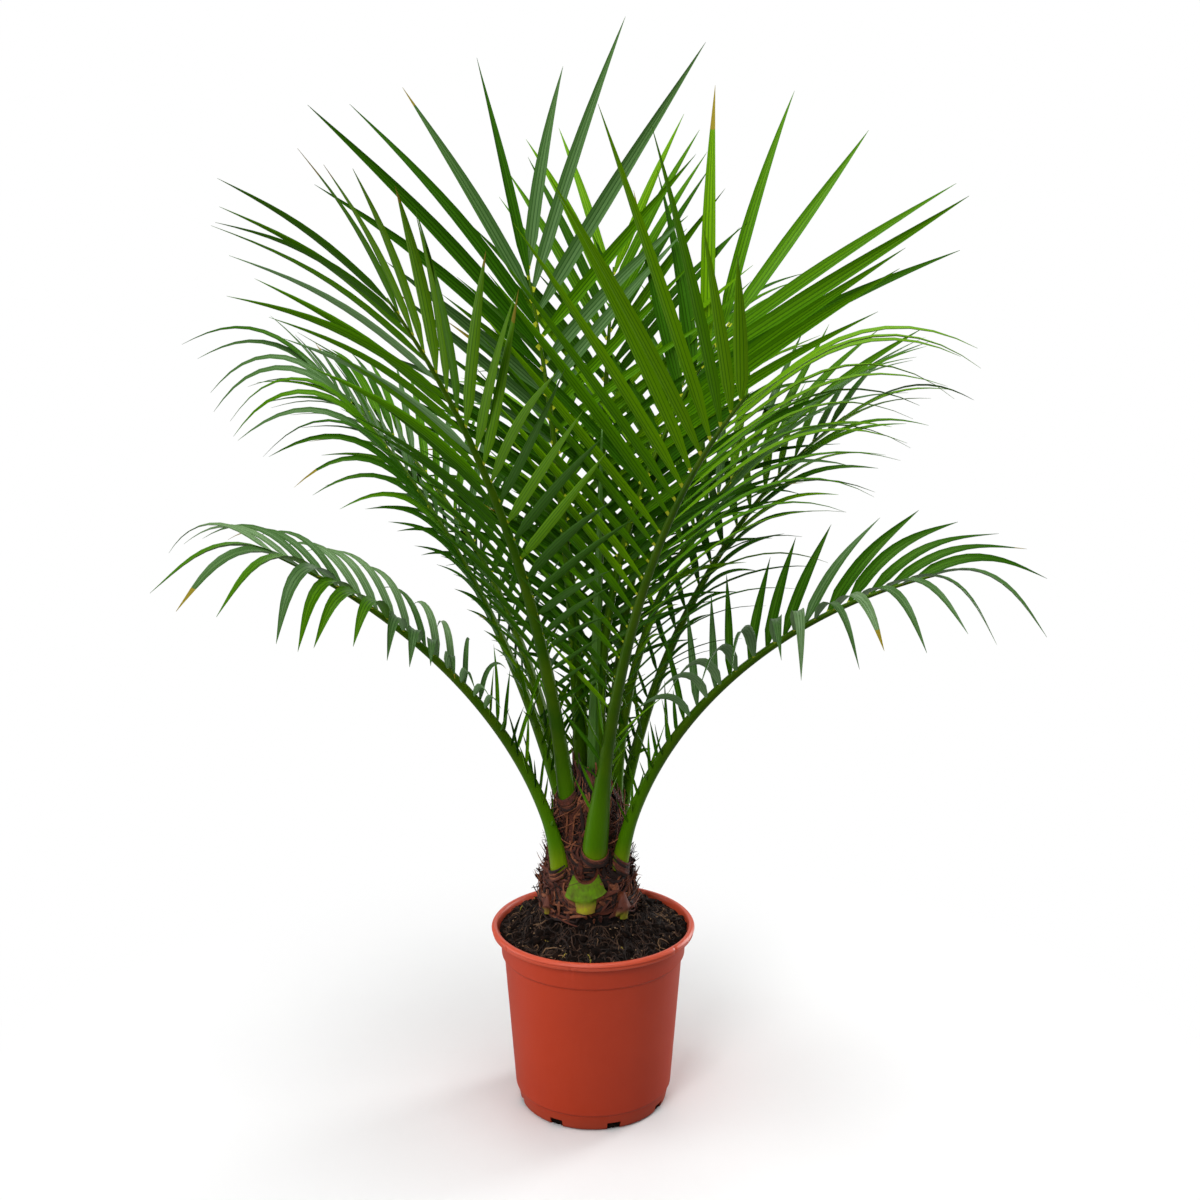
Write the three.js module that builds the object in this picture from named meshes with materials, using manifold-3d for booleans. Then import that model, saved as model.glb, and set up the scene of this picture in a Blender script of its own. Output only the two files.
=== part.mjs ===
// Pygmy date palm in a round plastic nursery pot.
//
// Millimetres, +Z up. The origin is the centre of the pot's flat underside, and -Y is the front.
// Azimuths are in degrees from +X towards +Y, so the front is at -90. Every sub-part is a closed
// solid of its own: pot, soil, trunk, cut leaf bases, and for each frond a stalk and a thin blade
// that holds the outline of its two rows of leaflets.

import * as THREE from 'three';
import * as BufferGeometryUtils from 'three/addons/utils/BufferGeometryUtils.js';
import Module from 'manifold-3d';

const wasm = await Module();
wasm.setup();

// ---------------------------------------------------------------- driving dimensions

// Space that every piece keeps from the one it rests on.
const SEAT_GAP = 0.3;

const POT = {
  height: 220,
  wall: 2.2,
  floor: 3,
  footRadius: 87,
  footChamfer: 3,
  footTopRadius: 90.5,
  footHeight: 20,
  stepHeight: 2,
  bodyFootRadius: 92.5,
  bodyTopRadius: 104.5,
  bodyTop: 187,
  collarRadius: 108,
  collarTopRadius: 108.6,
  collarBottom: 191,
  beadBottom: 205,
  beadRadius: 119.5,
  beadInnerRadius: 111,
  beadPoints: 6,
  segments: 36,
};

const DRAIN = {
  count: 8,
  firstAzimuth: -74,
  width: 16,
  height: 7,
  depth: 12,
};

// The soil reaches up inside the rim and is heaped round the trunk.
const SOIL = {
  rimRadius: 110.2,
  rimHeight: 212.2,
  edgeRound: 2,
  slopeHeight: 219,
  slopeRadius: 84,
  moundHeight: 236,
  moundRadius: 61,
};

// The trunk stands a little to the left of the pot's middle.
const TRUNK = {
  centreX: -6,
  segments: 16,
  domeShare: 0.6,
  domeHeight: 3,
  tipHeight: 5,
  // Radius at each height above the soil, from the foot to the crown's heart.
  profile: [
    { up: 0, radius: 54 },
    { up: 22, radius: 56 },
    { up: 54, radius: 50 },
    { up: 82, radius: 46 },
    { up: 116, radius: 41 },
    { up: 139, radius: 36 },
    { up: 156, radius: 27 },
    { up: 168, radius: 16 },
  ],
};

// Cut leaf bases around the foot of the trunk.
const BOOTS = [
  { name: 'boot_front', azimuth: -92, low: 257, high: 299, width: 44, thick: 14, reach: 5 },
  { name: 'boot_left', azimuth: 219, low: 246, high: 268, width: 18, thick: 12, reach: 3 },
  { name: 'boot_right', azimuth: -47, low: 243, high: 273, width: 27, thick: 12, reach: 5 },
  { name: 'boot_back_right', azimuth: 38, low: 240, high: 278, width: 36, thick: 13, reach: 5 },
  { name: 'boot_back_left', azimuth: 122, low: 240, high: 274, width: 34, thick: 13, reach: 5 },
];

// How much of a cut base's width and thickness is left at its top.
const BOOT_TOP = { width: 0.72, thick: 0.7 };

// A frond's rib starts at (startRadius, startAzimuth, startHeight). Its slope goes from rise to
// fall along its length, bend says how late, and sway turns it sideways; base is the stalk's
// width, foot the share of the rib where the stalk comes out of the fibre, flare its half width
// there as a share of base, and sheath the share of the rib over which it narrows. tip is the share of the longest leaflet which the last leaflets
// keep, and forward is their angle to the rib at the first, middle and last leaflet. The pairs
// hold first the row on the side of rising azimuth, then the other: leaf is a row's longest
// leaflet, lift the angle by which it folds up out of the frond, and sink how far its ends hang,
// as a share of the length.
const FRONDS = [
  {
    name: 'frond_left_low', azimuth: 188, startAzimuth: 224, startRadius: 51, startHeight: 295,
    length: 557, rise: 87.5, fall: 22.6, bend: 0.66, sway: 0, base: 17, flare: 0.58,
    leaf: [178, 178], tip: 0.8, forward: [58, 60, 36], lift: [24, 6], sink: [0.6, 0.16],
    splitAt: 0.5,
  },
  {
    name: 'frond_right_low', azimuth: -12, startAzimuth: -48, startRadius: 45, startHeight: 302,
    length: 537, rise: 84, fall: 13, bend: 0.794, sway: 5, base: 17, flare: 0.55,
    leaf: [158, 158], tip: 0.9, forward: [58, 60, 26], lift: [46, 16], sink: [0.1, 0.6],
    splitAt: 0.5,
  },
  {
    name: 'frond_left_front', azimuth: 228, startRadius: 33, startHeight: 300, length: 714,
    rise: 84, fall: 50, bend: 1.25, sway: -8, base: 19, foot: 0.112, flare: 0.55,
    leaf: [294, 294], tip: 0.57, forward: [58, 52, 24], lift: [-4, -22], sink: [0.02, 0.05],
  },
  {
    name: 'frond_right_front', azimuth: -66, startAzimuth: -92, startRadius: 38, startHeight: 285,
    length: 700, rise: 78, fall: 33, bend: 1.6, sway: 8, base: 17, foot: 0.046, flare: 0.86, sheath: 0.2,
    leaf: [250, 306], tip: 0.88, forward: [58, 60, 36], lift: [12, 50], sink: [0.3, 0.02],
  },
  {
    name: 'frond_left_outer', azimuth: 165, startRadius: 24, startHeight: 310, length: 640,
    rise: 76, fall: 41, bend: 1.2, sway: -8, base: 15, flare: 0.5,
    leaf: [225, 225], tip: 0.95, forward: [58, 56, 16], lift: [-2, -8], sink: [0.3, 0.06],
  },
  {
    name: 'frond_right_mid', azimuth: 8, startRadius: 29, startHeight: 320, length: 580,
    rise: 92, fall: 25, bend: 1.3, sway: 27, base: 14,
    leaf: [250, 250], tip: 0.85, forward: [58, 56, 24], lift: [30, 4], sink: [0.12, 0.26],
  },
  {
    name: 'frond_back_left_tall', azimuth: 140, startRadius: 17, startHeight: 372, length: 617,
    rise: 87, fall: 76, bend: 1.4, sway: 0, base: 15,
    leaf: [292, 300], tip: 0.94, forward: [58, 60, 16], lift: [-14, 42], sink: [0.08, 0.06],
  },
  {
    name: 'frond_back_right_tall', azimuth: 28, startRadius: 16, startHeight: 372, length: 588,
    rise: 98, fall: 48, bend: 1, sway: 0, base: 14,
    leaf: [320, 320], tip: 0.93, forward: [58, 60, 18], lift: [60, -16], sink: [0.02, 0.03],
  },
  {
    name: 'frond_back_tall', azimuth: 82, startRadius: 19, startHeight: 362, length: 640,
    rise: 88, fall: 60, bend: 1.3, sway: 0, base: 15,
    leaf: [290, 290], tip: 0.9, forward: [58, 52, 20], lift: [20, 20], sink: [0.03, 0.03],
  },
  {
    name: 'frond_back_left_low', azimuth: 146, startRadius: 31, startHeight: 312, length: 600,
    rise: 80, fall: 32, bend: 1.2, sway: 0, base: 14,
    leaf: [245, 245], tip: 0.8, forward: [58, 54, 22], lift: [10, 14], sink: [0.22, 0.16],
  },
  {
    name: 'frond_back_right_low', azimuth: 28, startRadius: 31, startHeight: 312, length: 600,
    rise: 80, fall: 30, bend: 1.2, sway: 0, base: 14,
    leaf: [245, 245], tip: 0.8, forward: [58, 54, 22], lift: [14, 10], sink: [0.16, 0.22],
  },
  {
    name: 'frond_back_low', azimuth: 100, startRadius: 34, startHeight: 300, length: 620,
    rise: 79, fall: 32, bend: 1.15, sway: 0, base: 15,
    leaf: [245, 245], tip: 0.8, forward: [58, 54, 22], lift: [14, 14], sink: [0.2, 0.2],
  },
  {
    name: 'frond_back_right_mid', azimuth: 64, startRadius: 30, startHeight: 325, length: 640,
    rise: 82, fall: 40, bend: 1.3, sway: 0, base: 14,
    leaf: [265, 265], tip: 0.85, forward: [58, 54, 22], lift: [18, 12], sink: [0.08, 0.12],
  },
];

// The blade runs from its start, a share of the rib, to the tip. Its leaflets grow from the first
// to full length at fullAt and shorten from fadeAt on. Where blades would cross, the later one is
// cut back by the clearance, and pieces under leastPiece of the whole are dropped.
const BLADE = {
  start: 0.28,
  stations: 7,
  firstLeaf: 0.35,
  fullAt: 0.4,
  fadeAt: 0.55,
  rowHalfThickness: 1.2,
  edgeHalfThickness: 0.8,
  middleColumn: 0.55,
  splitGap: 0.001,
  clearance: 0.6,
  overrun: 0.006,
  leastPiece: 0.04,
};

// The stalk ends just short of the blade. Its half width is a share of the frond's base.
const STALK = {
  end: 0.2792,
  stations: 9,
  sides: 8,
  bodyShare: 0.53,
  flare: 0.62,
  tipHalfWidth: 2,
  flatness: 0.95,
  sheathLength: 0.12,
};

const RIB_STEPS = 48;

const SPEAR = {
  azimuth: 60,
  lean: 3,
  base: 398,
  length: 400,
  radius: 7,
  taper: 0.85,
  taperBend: 1.5,
  rings: [0, 0.3, 0.65, 1],
  sides: 8,
};

// ---------------------------------------------------------------- small helpers

const radians = THREE.MathUtils.degToRad;
const lerp = THREE.MathUtils.lerp;
const smooth = THREE.MathUtils.smoothstep;

function finish(color, roughness) {
  return new THREE.MeshStandardMaterial({ color, roughness, metalness: 0 });
}

const FINISHES = {
  pot: finish(0xb5442a, 0.45),
  soil: finish(0x2a1c14, 0.95),
  trunk: finish(0x5b3325, 0.9),
  boot: finish(0x7c9a2c, 0.6),
  stalk: finish(0x4f8a18, 0.5),
  blade: finish(0x3a7a12, 0.5),
};

// A closed geometry as a solid that can be cut and joined.
function solid(geometry) {
  const bare = geometry.clone();
  bare.deleteAttribute('normal');
  bare.deleteAttribute('uv');
  const merged = BufferGeometryUtils.mergeVertices(bare, 1e-3);
  return new wasm.Manifold(new wasm.Mesh({
    numProp: 3,
    vertProperties: new Float32Array(merged.attributes.position.array),
    triVerts: new Uint32Array(merged.index.array),
  }));
}

function geometryOf(body) {
  const mesh = body.getMesh();
  const geometry = new THREE.BufferGeometry();
  geometry.setAttribute('position', new THREE.BufferAttribute(mesh.vertProperties, 3));
  geometry.setIndex(new THREE.BufferAttribute(mesh.triVerts, 1));
  geometry.computeVertexNormals();
  return geometry;
}

function indexedGeometry(points, triangles) {
  const geometry = new THREE.BufferGeometry();
  const positions = points.flatMap((point) => [point.x, point.y, point.z]);
  geometry.setAttribute('position', new THREE.Float32BufferAttribute(positions, 3));
  geometry.setIndex(triangles.flat());
  return geometry;
}

// A round or oval rod through a row of rings with the same number of points, each running
// anticlockwise as seen from the end of the row. The ends are closed by fans.
function rod(rings) {
  const size = rings[0].length;
  const last = (rings.length - 1) * size;
  const triangles = [];
  for (let start = 0; start < last; start += size) {
    for (let corner = 0; corner < size; corner += 1) {
      const a = start + corner;
      const b = start + ((corner + 1) % size);
      triangles.push([a, b, b + size], [a, b + size, a + size]);
    }
  }
  for (let corner = 1; corner < size - 1; corner += 1) {
    triangles.push([0, corner + 1, corner]);
    triangles.push([last, last + corner, last + corner + 1]);
  }
  return indexedGeometry(rings.flat(), triangles);
}

// A thin sheet between rows of upper points and rows of lower points. Both faces of a patch are
// folded along the same diagonal, so a twisted sheet keeps its thickness.
function sheet(uppers, lowers) {
  const columns = uppers[0].length;
  const rows = uppers.length;
  const upper = (row, column) => row * columns + column;
  const lower = (row, column) => (rows + row) * columns + column;
  const triangles = [];
  const patch = (a, b, c, d) => triangles.push([a, b, c], [a, c, d]);
  for (let row = 0; row < rows - 1; row += 1) {
    for (let column = 0; column < columns - 1; column += 1) {
      patch(
        upper(row, column), upper(row, column + 1),
        upper(row + 1, column + 1), upper(row + 1, column),
      );
      patch(
        lower(row, column), lower(row + 1, column),
        lower(row + 1, column + 1), lower(row, column + 1),
      );
    }
    patch(lower(row, 0), upper(row, 0), upper(row + 1, 0), lower(row + 1, 0));
    const edge = columns - 1;
    patch(upper(row, edge), lower(row, edge), lower(row + 1, edge), upper(row + 1, edge));
  }
  const end = rows - 1;
  for (let column = 0; column < columns - 1; column += 1) {
    patch(upper(0, column), lower(0, column), lower(0, column + 1), upper(0, column + 1));
    patch(
      upper(end, column), upper(end, column + 1),
      lower(end, column + 1), lower(end, column),
    );
  }
  return indexedGeometry([...uppers.flat(), ...lowers.flat()], triangles);
}

function lathe(profile, segments) {
  const points = profile.map(([radius, height]) => new THREE.Vector2(radius, height));
  return new THREE.LatheGeometry(points, segments).rotateX(Math.PI / 2);
}

function aroundAxis(azimuth, radius, height) {
  const angle = radians(azimuth);
  return new THREE.Vector3(radius * Math.cos(angle), radius * Math.sin(angle), height);
}

const palm = new THREE.Group();

function addPart(name, geometry, material) {
  const mesh = new THREE.Mesh(geometry, material);
  mesh.name = name;
  palm.add(mesh);
}

// ---------------------------------------------------------------- pot

// The inside of the pot's wall, from the floor up to the collar, as [radius, height].
const POT_INSIDE = [
  [POT.footRadius - POT.wall, POT.floor],
  [POT.footTopRadius - POT.wall, POT.footHeight],
  [POT.bodyFootRadius - POT.wall, POT.footHeight + POT.stepHeight],
  [POT.bodyTopRadius - POT.wall, POT.bodyTop],
  [POT.collarRadius - POT.wall, POT.collarBottom],
  [POT.collarRadius - POT.wall, POT.beadBottom - POT.wall],
];

// The rolled rim is an oval bead, closed from its underside over the top to its inner side.
function rimBead() {
  const middle = (POT.beadRadius + POT.beadInnerRadius) / 2;
  const halfWidth = (POT.beadRadius - POT.beadInnerRadius) / 2;
  const halfHeight = (POT.height - POT.beadBottom) / 2;
  const points = [];
  for (let index = 0; index <= POT.beadPoints; index += 1) {
    const turn = radians(lerp(-90, 180, index / POT.beadPoints));
    points.push([
      middle + halfWidth * Math.cos(turn),
      POT.beadBottom + halfHeight * (1 + Math.sin(turn)),
    ]);
  }
  return points;
}

// The rim stands on a short collar; the tapering wall ends in a foot band with a small step.
function potSolid() {
  const shell = solid(lathe([
    [0, 0],
    [POT.footRadius - POT.footChamfer, 0],
    [POT.footRadius, POT.footChamfer],
    [POT.footTopRadius, POT.footHeight],
    [POT.bodyFootRadius, POT.footHeight + POT.stepHeight],
    [POT.bodyTopRadius, POT.bodyTop],
    [POT.collarRadius, POT.collarBottom],
    [POT.collarTopRadius, POT.beadBottom],
    ...rimBead(),
    ...POT_INSIDE.toReversed(),
    [0, POT.floor],
  ], POT.segments));
  let pot = shell;
  for (let index = 0; index < DRAIN.count; index += 1) {
    const azimuth = DRAIN.firstAzimuth + (index * 360) / DRAIN.count;
    const slot = new THREE.BoxGeometry(DRAIN.depth * 2, DRAIN.width, DRAIN.height * 2);
    slot.rotateZ(radians(azimuth));
    const place = aroundAxis(azimuth, POT.footTopRadius, 0);
    slot.translate(place.x, place.y, place.z);
    pot = pot.subtract(solid(slot));
  }
  return pot;
}

// ---------------------------------------------------------------- soil

// The soil fills the pot, follows its wall at a small gap, and rises to a low mound.
function soilSolid() {
  const wallPoints = POT_INSIDE.map(([radius, height]) => (
    [radius - 2 * SEAT_GAP, height + SEAT_GAP]
  ));
  return solid(lathe([
    [0, POT.floor + SEAT_GAP],
    ...wallPoints,
    [SOIL.rimRadius, SOIL.rimHeight],
    [SOIL.rimRadius - SOIL.edgeRound, SOIL.rimHeight + SOIL.edgeRound],
    [SOIL.slopeRadius, SOIL.slopeHeight],
    [SOIL.moundRadius, SOIL.moundHeight],
    [0, SOIL.moundHeight],
  ], POT.segments));
}

// ---------------------------------------------------------------- trunk and cut leaf bases

const GROUND = SOIL.moundHeight + SEAT_GAP;

// A point at an azimuth and radius from the trunk's own axis.
function aroundTrunk(azimuth, radius, height) {
  const point = aroundAxis(azimuth, radius, height);
  point.x += TRUNK.centreX;
  return point;
}

function trunkSolid(extra) {
  const rings = TRUNK.profile.map(({ up, radius }) => [radius + extra, GROUND + up]);
  const top = rings[rings.length - 1];
  return solid(lathe([
    [0, GROUND],
    ...rings,
    [top[0] * TRUNK.domeShare, top[1] + TRUNK.domeHeight + extra],
    [0, top[1] + TRUNK.tipHeight + extra],
  ], TRUNK.segments).translate(TRUNK.centreX, 0, 0));
}

function trunkRadiusAt(height) {
  const up = height - GROUND;
  const rows = TRUNK.profile;
  for (let index = 1; index < rows.length; index += 1) {
    if (up <= rows[index].up) {
      const share = (up - rows[index - 1].up) / (rows[index].up - rows[index - 1].up);
      return lerp(rows[index - 1].radius, rows[index].radius, Math.max(share, 0));
    }
  }
  return rows[rows.length - 1].radius;
}

// A broad stub that hugs the trunk, wide at its foot and cut off short.
function bootSolid(boot) {
  const rings = [];
  for (const share of [0, 0.5, 1]) {
    const height = lerp(boot.low, boot.high, share);
    const radius = trunkRadiusAt(height) + lerp(0, boot.reach, share);
    const halfWidth = (boot.width / 2) * lerp(1, BOOT_TOP.width, share);
    const halfThick = (boot.thick / 2) * lerp(1, BOOT_TOP.thick, share);
    const centre = aroundTrunk(boot.azimuth, radius, height);
    const out = aroundAxis(boot.azimuth, 1, 0);
    const side = aroundAxis(boot.azimuth + 90, 1, 0);
    const ring = [];
    for (let corner = 0; corner < STALK.sides; corner += 1) {
      const turn = (corner / STALK.sides) * Math.PI * 2;
      const point = centre.clone();
      point.addScaledVector(out, halfThick * Math.cos(turn));
      point.addScaledVector(side, halfWidth * Math.sin(turn));
      ring.push(point);
    }
    rings.push(ring);
  }
  return solid(rod(rings));
}

// ---------------------------------------------------------------- fronds

// The rib as a run of places with their directions: along, sideways and up out of the frond.
function ribOf(frond) {
  const start = frond.startAzimuth ?? frond.azimuth;
  const place = aroundAxis(start, frond.startRadius, frond.startHeight);
  const step = frond.length / RIB_STEPS;
  const rows = [];
  for (let index = 0; index <= RIB_STEPS; index += 1) {
    const share = index / RIB_STEPS;
    const middle = Math.min(share + 0.5 / RIB_STEPS, 1);
    const slope = radians(lerp(frond.rise, frond.fall, middle ** frond.bend));
    const azimuth = radians(frond.azimuth + frond.sway * middle);
    const along = new THREE.Vector3(
      Math.cos(slope) * Math.cos(azimuth),
      Math.cos(slope) * Math.sin(azimuth),
      Math.sin(slope),
    );
    const side = new THREE.Vector3(-Math.sin(azimuth), Math.cos(azimuth), 0);
    const up = new THREE.Vector3().crossVectors(along, side);
    rows.push({ place: place.clone(), along, side, up });
    place.addScaledVector(along, step);
  }
  return rows;
}

// Past the tip the rib runs straight on.
function ribAt(rib, share) {
  const at = share * RIB_STEPS;
  const index = THREE.MathUtils.clamp(Math.floor(at), 0, RIB_STEPS - 1);
  const part = at - index;
  const mix = (key) => rib[index][key].clone().lerp(rib[index + 1][key], part);
  return {
    place: mix('place'),
    along: mix('along').normalize(),
    side: mix('side').normalize(),
    up: mix('up').normalize(),
  };
}

// Half the width of the stalk: a sheath that clasps the trunk, then a slow taper to the tip.
function stalkHalfWidth(frond, share) {
  const sheath = 1 - smooth(share - (frond.foot ?? 0), 0, frond.sheath ?? STALK.sheathLength);
  const body = lerp(frond.base * STALK.bodyShare, STALK.tipHalfWidth, share);
  return lerp(body, frond.base * (frond.flare ?? STALK.flare), sheath);
}

function stalkSolid(frond, rib, extra) {
  const rings = [];
  for (let station = 0; station < STALK.stations; station += 1) {
    const share = lerp(frond.foot ?? 0, STALK.end, station / (STALK.stations - 1));
    const row = ribAt(rib, share);
    const halfWidth = stalkHalfWidth(frond, share) + extra;
    const halfThick = stalkHalfWidth(frond, share) * STALK.flatness + extra;
    const ring = [];
    for (let corner = 0; corner < STALK.sides; corner += 1) {
      const turn = (corner / STALK.sides) * Math.PI * 2;
      const point = row.place.clone();
      point.addScaledVector(row.side, halfWidth * Math.cos(turn));
      point.addScaledVector(row.up, halfThick * Math.sin(turn));
      ring.push(point);
    }
    rings.push(ring);
  }
  return solid(rod(rings));
}

// Length of a leaflet, from short first ones over the longest to the last at the tip.
function leafLength(frond, part, which) {
  const rise = lerp(BLADE.firstLeaf, 1, smooth(part, 0, BLADE.fullAt));
  const fade = lerp(1, frond.tip, smooth(part, BLADE.fadeAt, 1));
  return frond.leaf[which] * rise * fade;
}

// Angle between a leaflet and the rib.
function leafForward(frond, part) {
  const [first, middle, last] = frond.forward;
  if (part < 0.5) {
    return radians(lerp(first, middle, part * 2));
  }
  return radians(lerp(middle, last, (part - 0.5) * 2));
}

// A point on a leaflet and the way its row faces there. hand is 1 for the row on the side of
// rising azimuth and -1 for the other; out goes from 0 at the rib to 1 at the leaflet's end.
function leafPoint(frond, row, part, hand, out, extra) {
  const forward = leafForward(frond, part);
  const which = hand > 0 ? 0 : 1;
  const lift = out > 0 ? radians(frond.lift[which]) : 0;
  const reach = (leafLength(frond, part, which) + extra) * out;
  const point = row.place.clone();
  point.addScaledVector(row.along, reach * Math.cos(forward));
  point.addScaledVector(row.side, hand * reach * Math.sin(forward) * Math.cos(lift));
  point.addScaledVector(row.up, reach * Math.sin(forward) * Math.sin(lift));
  point.z -= frond.sink[which] * reach * out;
  const facing = row.up.clone().multiplyScalar(Math.cos(lift));
  facing.addScaledVector(row.side, -hand * Math.sin(lift));
  return { point, facing };
}

function bladeSolid(frond, rib, from, to, extra) {
  const uppers = [];
  const lowers = [];
  const columns = [[1, 1], [1, BLADE.middleColumn], [0, 0], [-1, BLADE.middleColumn], [-1, 1]];
  for (let station = 0; station < BLADE.stations; station += 1) {
    const part = lerp(from, to, station / (BLADE.stations - 1));
    const share = lerp(BLADE.start, 1, part);
    const row = ribAt(rib, share);
    const ribHalf = Math.max(stalkHalfWidth(frond, share) * STALK.flatness, BLADE.rowHalfThickness);
    const halves = [BLADE.edgeHalfThickness, BLADE.rowHalfThickness, ribHalf];
    const upper = [];
    const lower = [];
    columns.forEach(([hand, out], index) => {
      const half = halves[Math.min(index, columns.length - 1 - index)] + extra;
      const { point, facing } = leafPoint(frond, row, part, hand, out, extra * 2);
      upper.push(point.clone().addScaledVector(facing, half));
      lower.push(point.clone().addScaledVector(facing, -half));
    });
    uppers.push(upper);
    lowers.push(lower);
  }
  return solid(sheet(uppers, lowers));
}

// The unopened leaf that stands in the heart of the crown.
function spearSolid() {
  const rings = [];
  const lean = radians(SPEAR.lean);
  const direction = aroundAxis(SPEAR.azimuth, Math.sin(lean), Math.cos(lean));
  for (const share of SPEAR.rings) {
    const centre = direction.clone().multiplyScalar(SPEAR.length * share);
    centre.z += SPEAR.base;
    const radius = SPEAR.radius * (1 - SPEAR.taper * share ** SPEAR.taperBend);
    const ring = [];
    for (let corner = 0; corner < SPEAR.sides; corner += 1) {
      const turn = (corner / SPEAR.sides) * Math.PI * 2;
      ring.push(new THREE.Vector3(
        centre.x + radius * Math.cos(turn),
        centre.y + radius * Math.sin(turn),
        centre.z,
      ));
    }
    rings.push(ring);
  }
  return solid(rod(rings));
}

// ---------------------------------------------------------------- assembly

// The pieces of a cut solid, largest first, without slivers.
function piecesOf(body, least) {
  const pieces = body.decompose().filter((piece) => piece.volume() > least);
  return pieces.sort((a, b) => b.volume() - a.volume());
}

addPart('pot', geometryOf(potSolid()), FINISHES.pot);
addPart('soil', geometryOf(soilSolid()), FINISHES.soil);
addPart('trunk', geometryOf(trunkSolid(0)), FINISHES.trunk);

const trunkRoom = trunkSolid(SEAT_GAP);

// Everything placed so far, each grown by its clearance, which later pieces are cut by.
const taken = [trunkRoom];

function cutByTaken(body) {
  return taken.reduce((rest, other) => rest.subtract(other), body);
}

for (const boot of BOOTS) {
  const piece = piecesOf(cutByTaken(bootSolid(boot)), 0)[0];
  addPart(boot.name, geometryOf(piece), FINISHES.boot);
}

const ribs = FRONDS.map((frond) => ribOf(frond));

FRONDS.forEach((frond, index) => {
  const stalk = cutByTaken(stalkSolid(frond, ribs[index], 0));
  addPart(`${frond.name}_stalk`, geometryOf(piecesOf(stalk, 0)[0]), FINISHES.stalk);
  taken.push(stalkSolid(frond, ribs[index], BLADE.clearance));
});

const spear = cutByTaken(spearSolid());
addPart('spear_leaf', geometryOf(piecesOf(spear, 0)[0]), FINISHES.stalk);
taken.push(spearSolid());

FRONDS.forEach((frond, index) => {
  const ends = frond.splitAt ? [0, frond.splitAt, 1] : [0, 1];
  const ownStalk = index + 1;
  const others = taken.filter((_, number) => number !== ownStalk);
  for (let run = 0; run < ends.length - 1; run += 1) {
    const from = ends[run] + (run > 0 ? BLADE.splitGap : 0);
    const to = ends[run + 1];
    const whole = bladeSolid(frond, ribs[index], from, to, 0);
    const before = from - BLADE.overrun;
    taken.push(whole, bladeSolid(frond, ribs[index], before, to + BLADE.overrun, BLADE.clearance));
    const cut = others.reduce((rest, other) => rest.subtract(other), whole);
    const pieces = piecesOf(cut, whole.volume() * BLADE.leastPiece);
    pieces.forEach((piece, number) => {
      const place = ends.length > 2 ? ['_inner', '_outer'][run] : '';
      const order = number > 0 ? `_${number + 1}` : '';
      addPart(`${frond.name}_blade${place}${order}`, geometryOf(piece), FINISHES.blade);
    });
  }
});

export default palm;
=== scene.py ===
# %% [markdown]
# # A pygmy date palm in its nursery pot
#
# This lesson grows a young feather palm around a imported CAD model. The CAD model fixes where the
# pot, the trunk and every frond stand. Here each plain solid gives way to what a gardener sees:
# a moulded plastic pot, peaty soil full of rootlets, a trunk wrapped in fibre, and fronds with a
# channelled rib and two rows of folded leaflets.

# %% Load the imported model
import functools
import math
import random

import bpy
import numpy as np
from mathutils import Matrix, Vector, noise


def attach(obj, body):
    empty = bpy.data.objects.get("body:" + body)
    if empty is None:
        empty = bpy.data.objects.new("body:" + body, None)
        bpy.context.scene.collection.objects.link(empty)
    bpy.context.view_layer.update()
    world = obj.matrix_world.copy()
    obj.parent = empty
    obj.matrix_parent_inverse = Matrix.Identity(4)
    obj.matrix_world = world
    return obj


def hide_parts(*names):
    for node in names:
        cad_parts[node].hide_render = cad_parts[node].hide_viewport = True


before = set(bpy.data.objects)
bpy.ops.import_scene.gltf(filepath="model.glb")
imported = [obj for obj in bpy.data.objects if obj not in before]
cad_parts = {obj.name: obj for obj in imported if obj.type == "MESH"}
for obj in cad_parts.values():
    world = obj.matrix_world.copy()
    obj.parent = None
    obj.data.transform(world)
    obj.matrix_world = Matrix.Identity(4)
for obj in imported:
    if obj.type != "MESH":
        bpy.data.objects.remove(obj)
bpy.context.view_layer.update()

MM = 0.001

# %% [markdown]
# ## The camera
#
# The camera stands a little above the middle of the plant and looks slightly down, so the soil
# shows inside the rim. A 45 mm lens keeps the pot's sides nearly upright, and no shift is needed.

# %% Camera
CAMERA_PLACE = (0.0081, -1.659, 0.938)
CAMERA_PITCH = 11.32

camera_data = bpy.data.cameras.new("camera")
camera_data.lens = 45
camera_data.sensor_width = 36
camera = bpy.data.objects.new("camera", camera_data)
camera.location = CAMERA_PLACE
camera.rotation_euler = (math.radians(90 - CAMERA_PITCH), 0, 0)
bpy.context.scene.collection.objects.link(camera)
bpy.context.scene.camera = camera
print("camera looks down by", CAMERA_PITCH, "degrees")

# %% [markdown]
# ## Studio light
#
# Glossy leaves need something broad to reflect. A dim white world gives even light from all
# sides, one softbox lights from the front and one from above, and two low ones draw the soft
# bright band down the left of the pot and its pale right edge. The standard view keeps colours
# as mixed.

# %% World and softboxes
bpy.context.scene.view_settings.view_transform = "Standard"
WORLD_LIGHT = 0.23
SKY = (1.0, 1.0, 1.0, 1.0)

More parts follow.
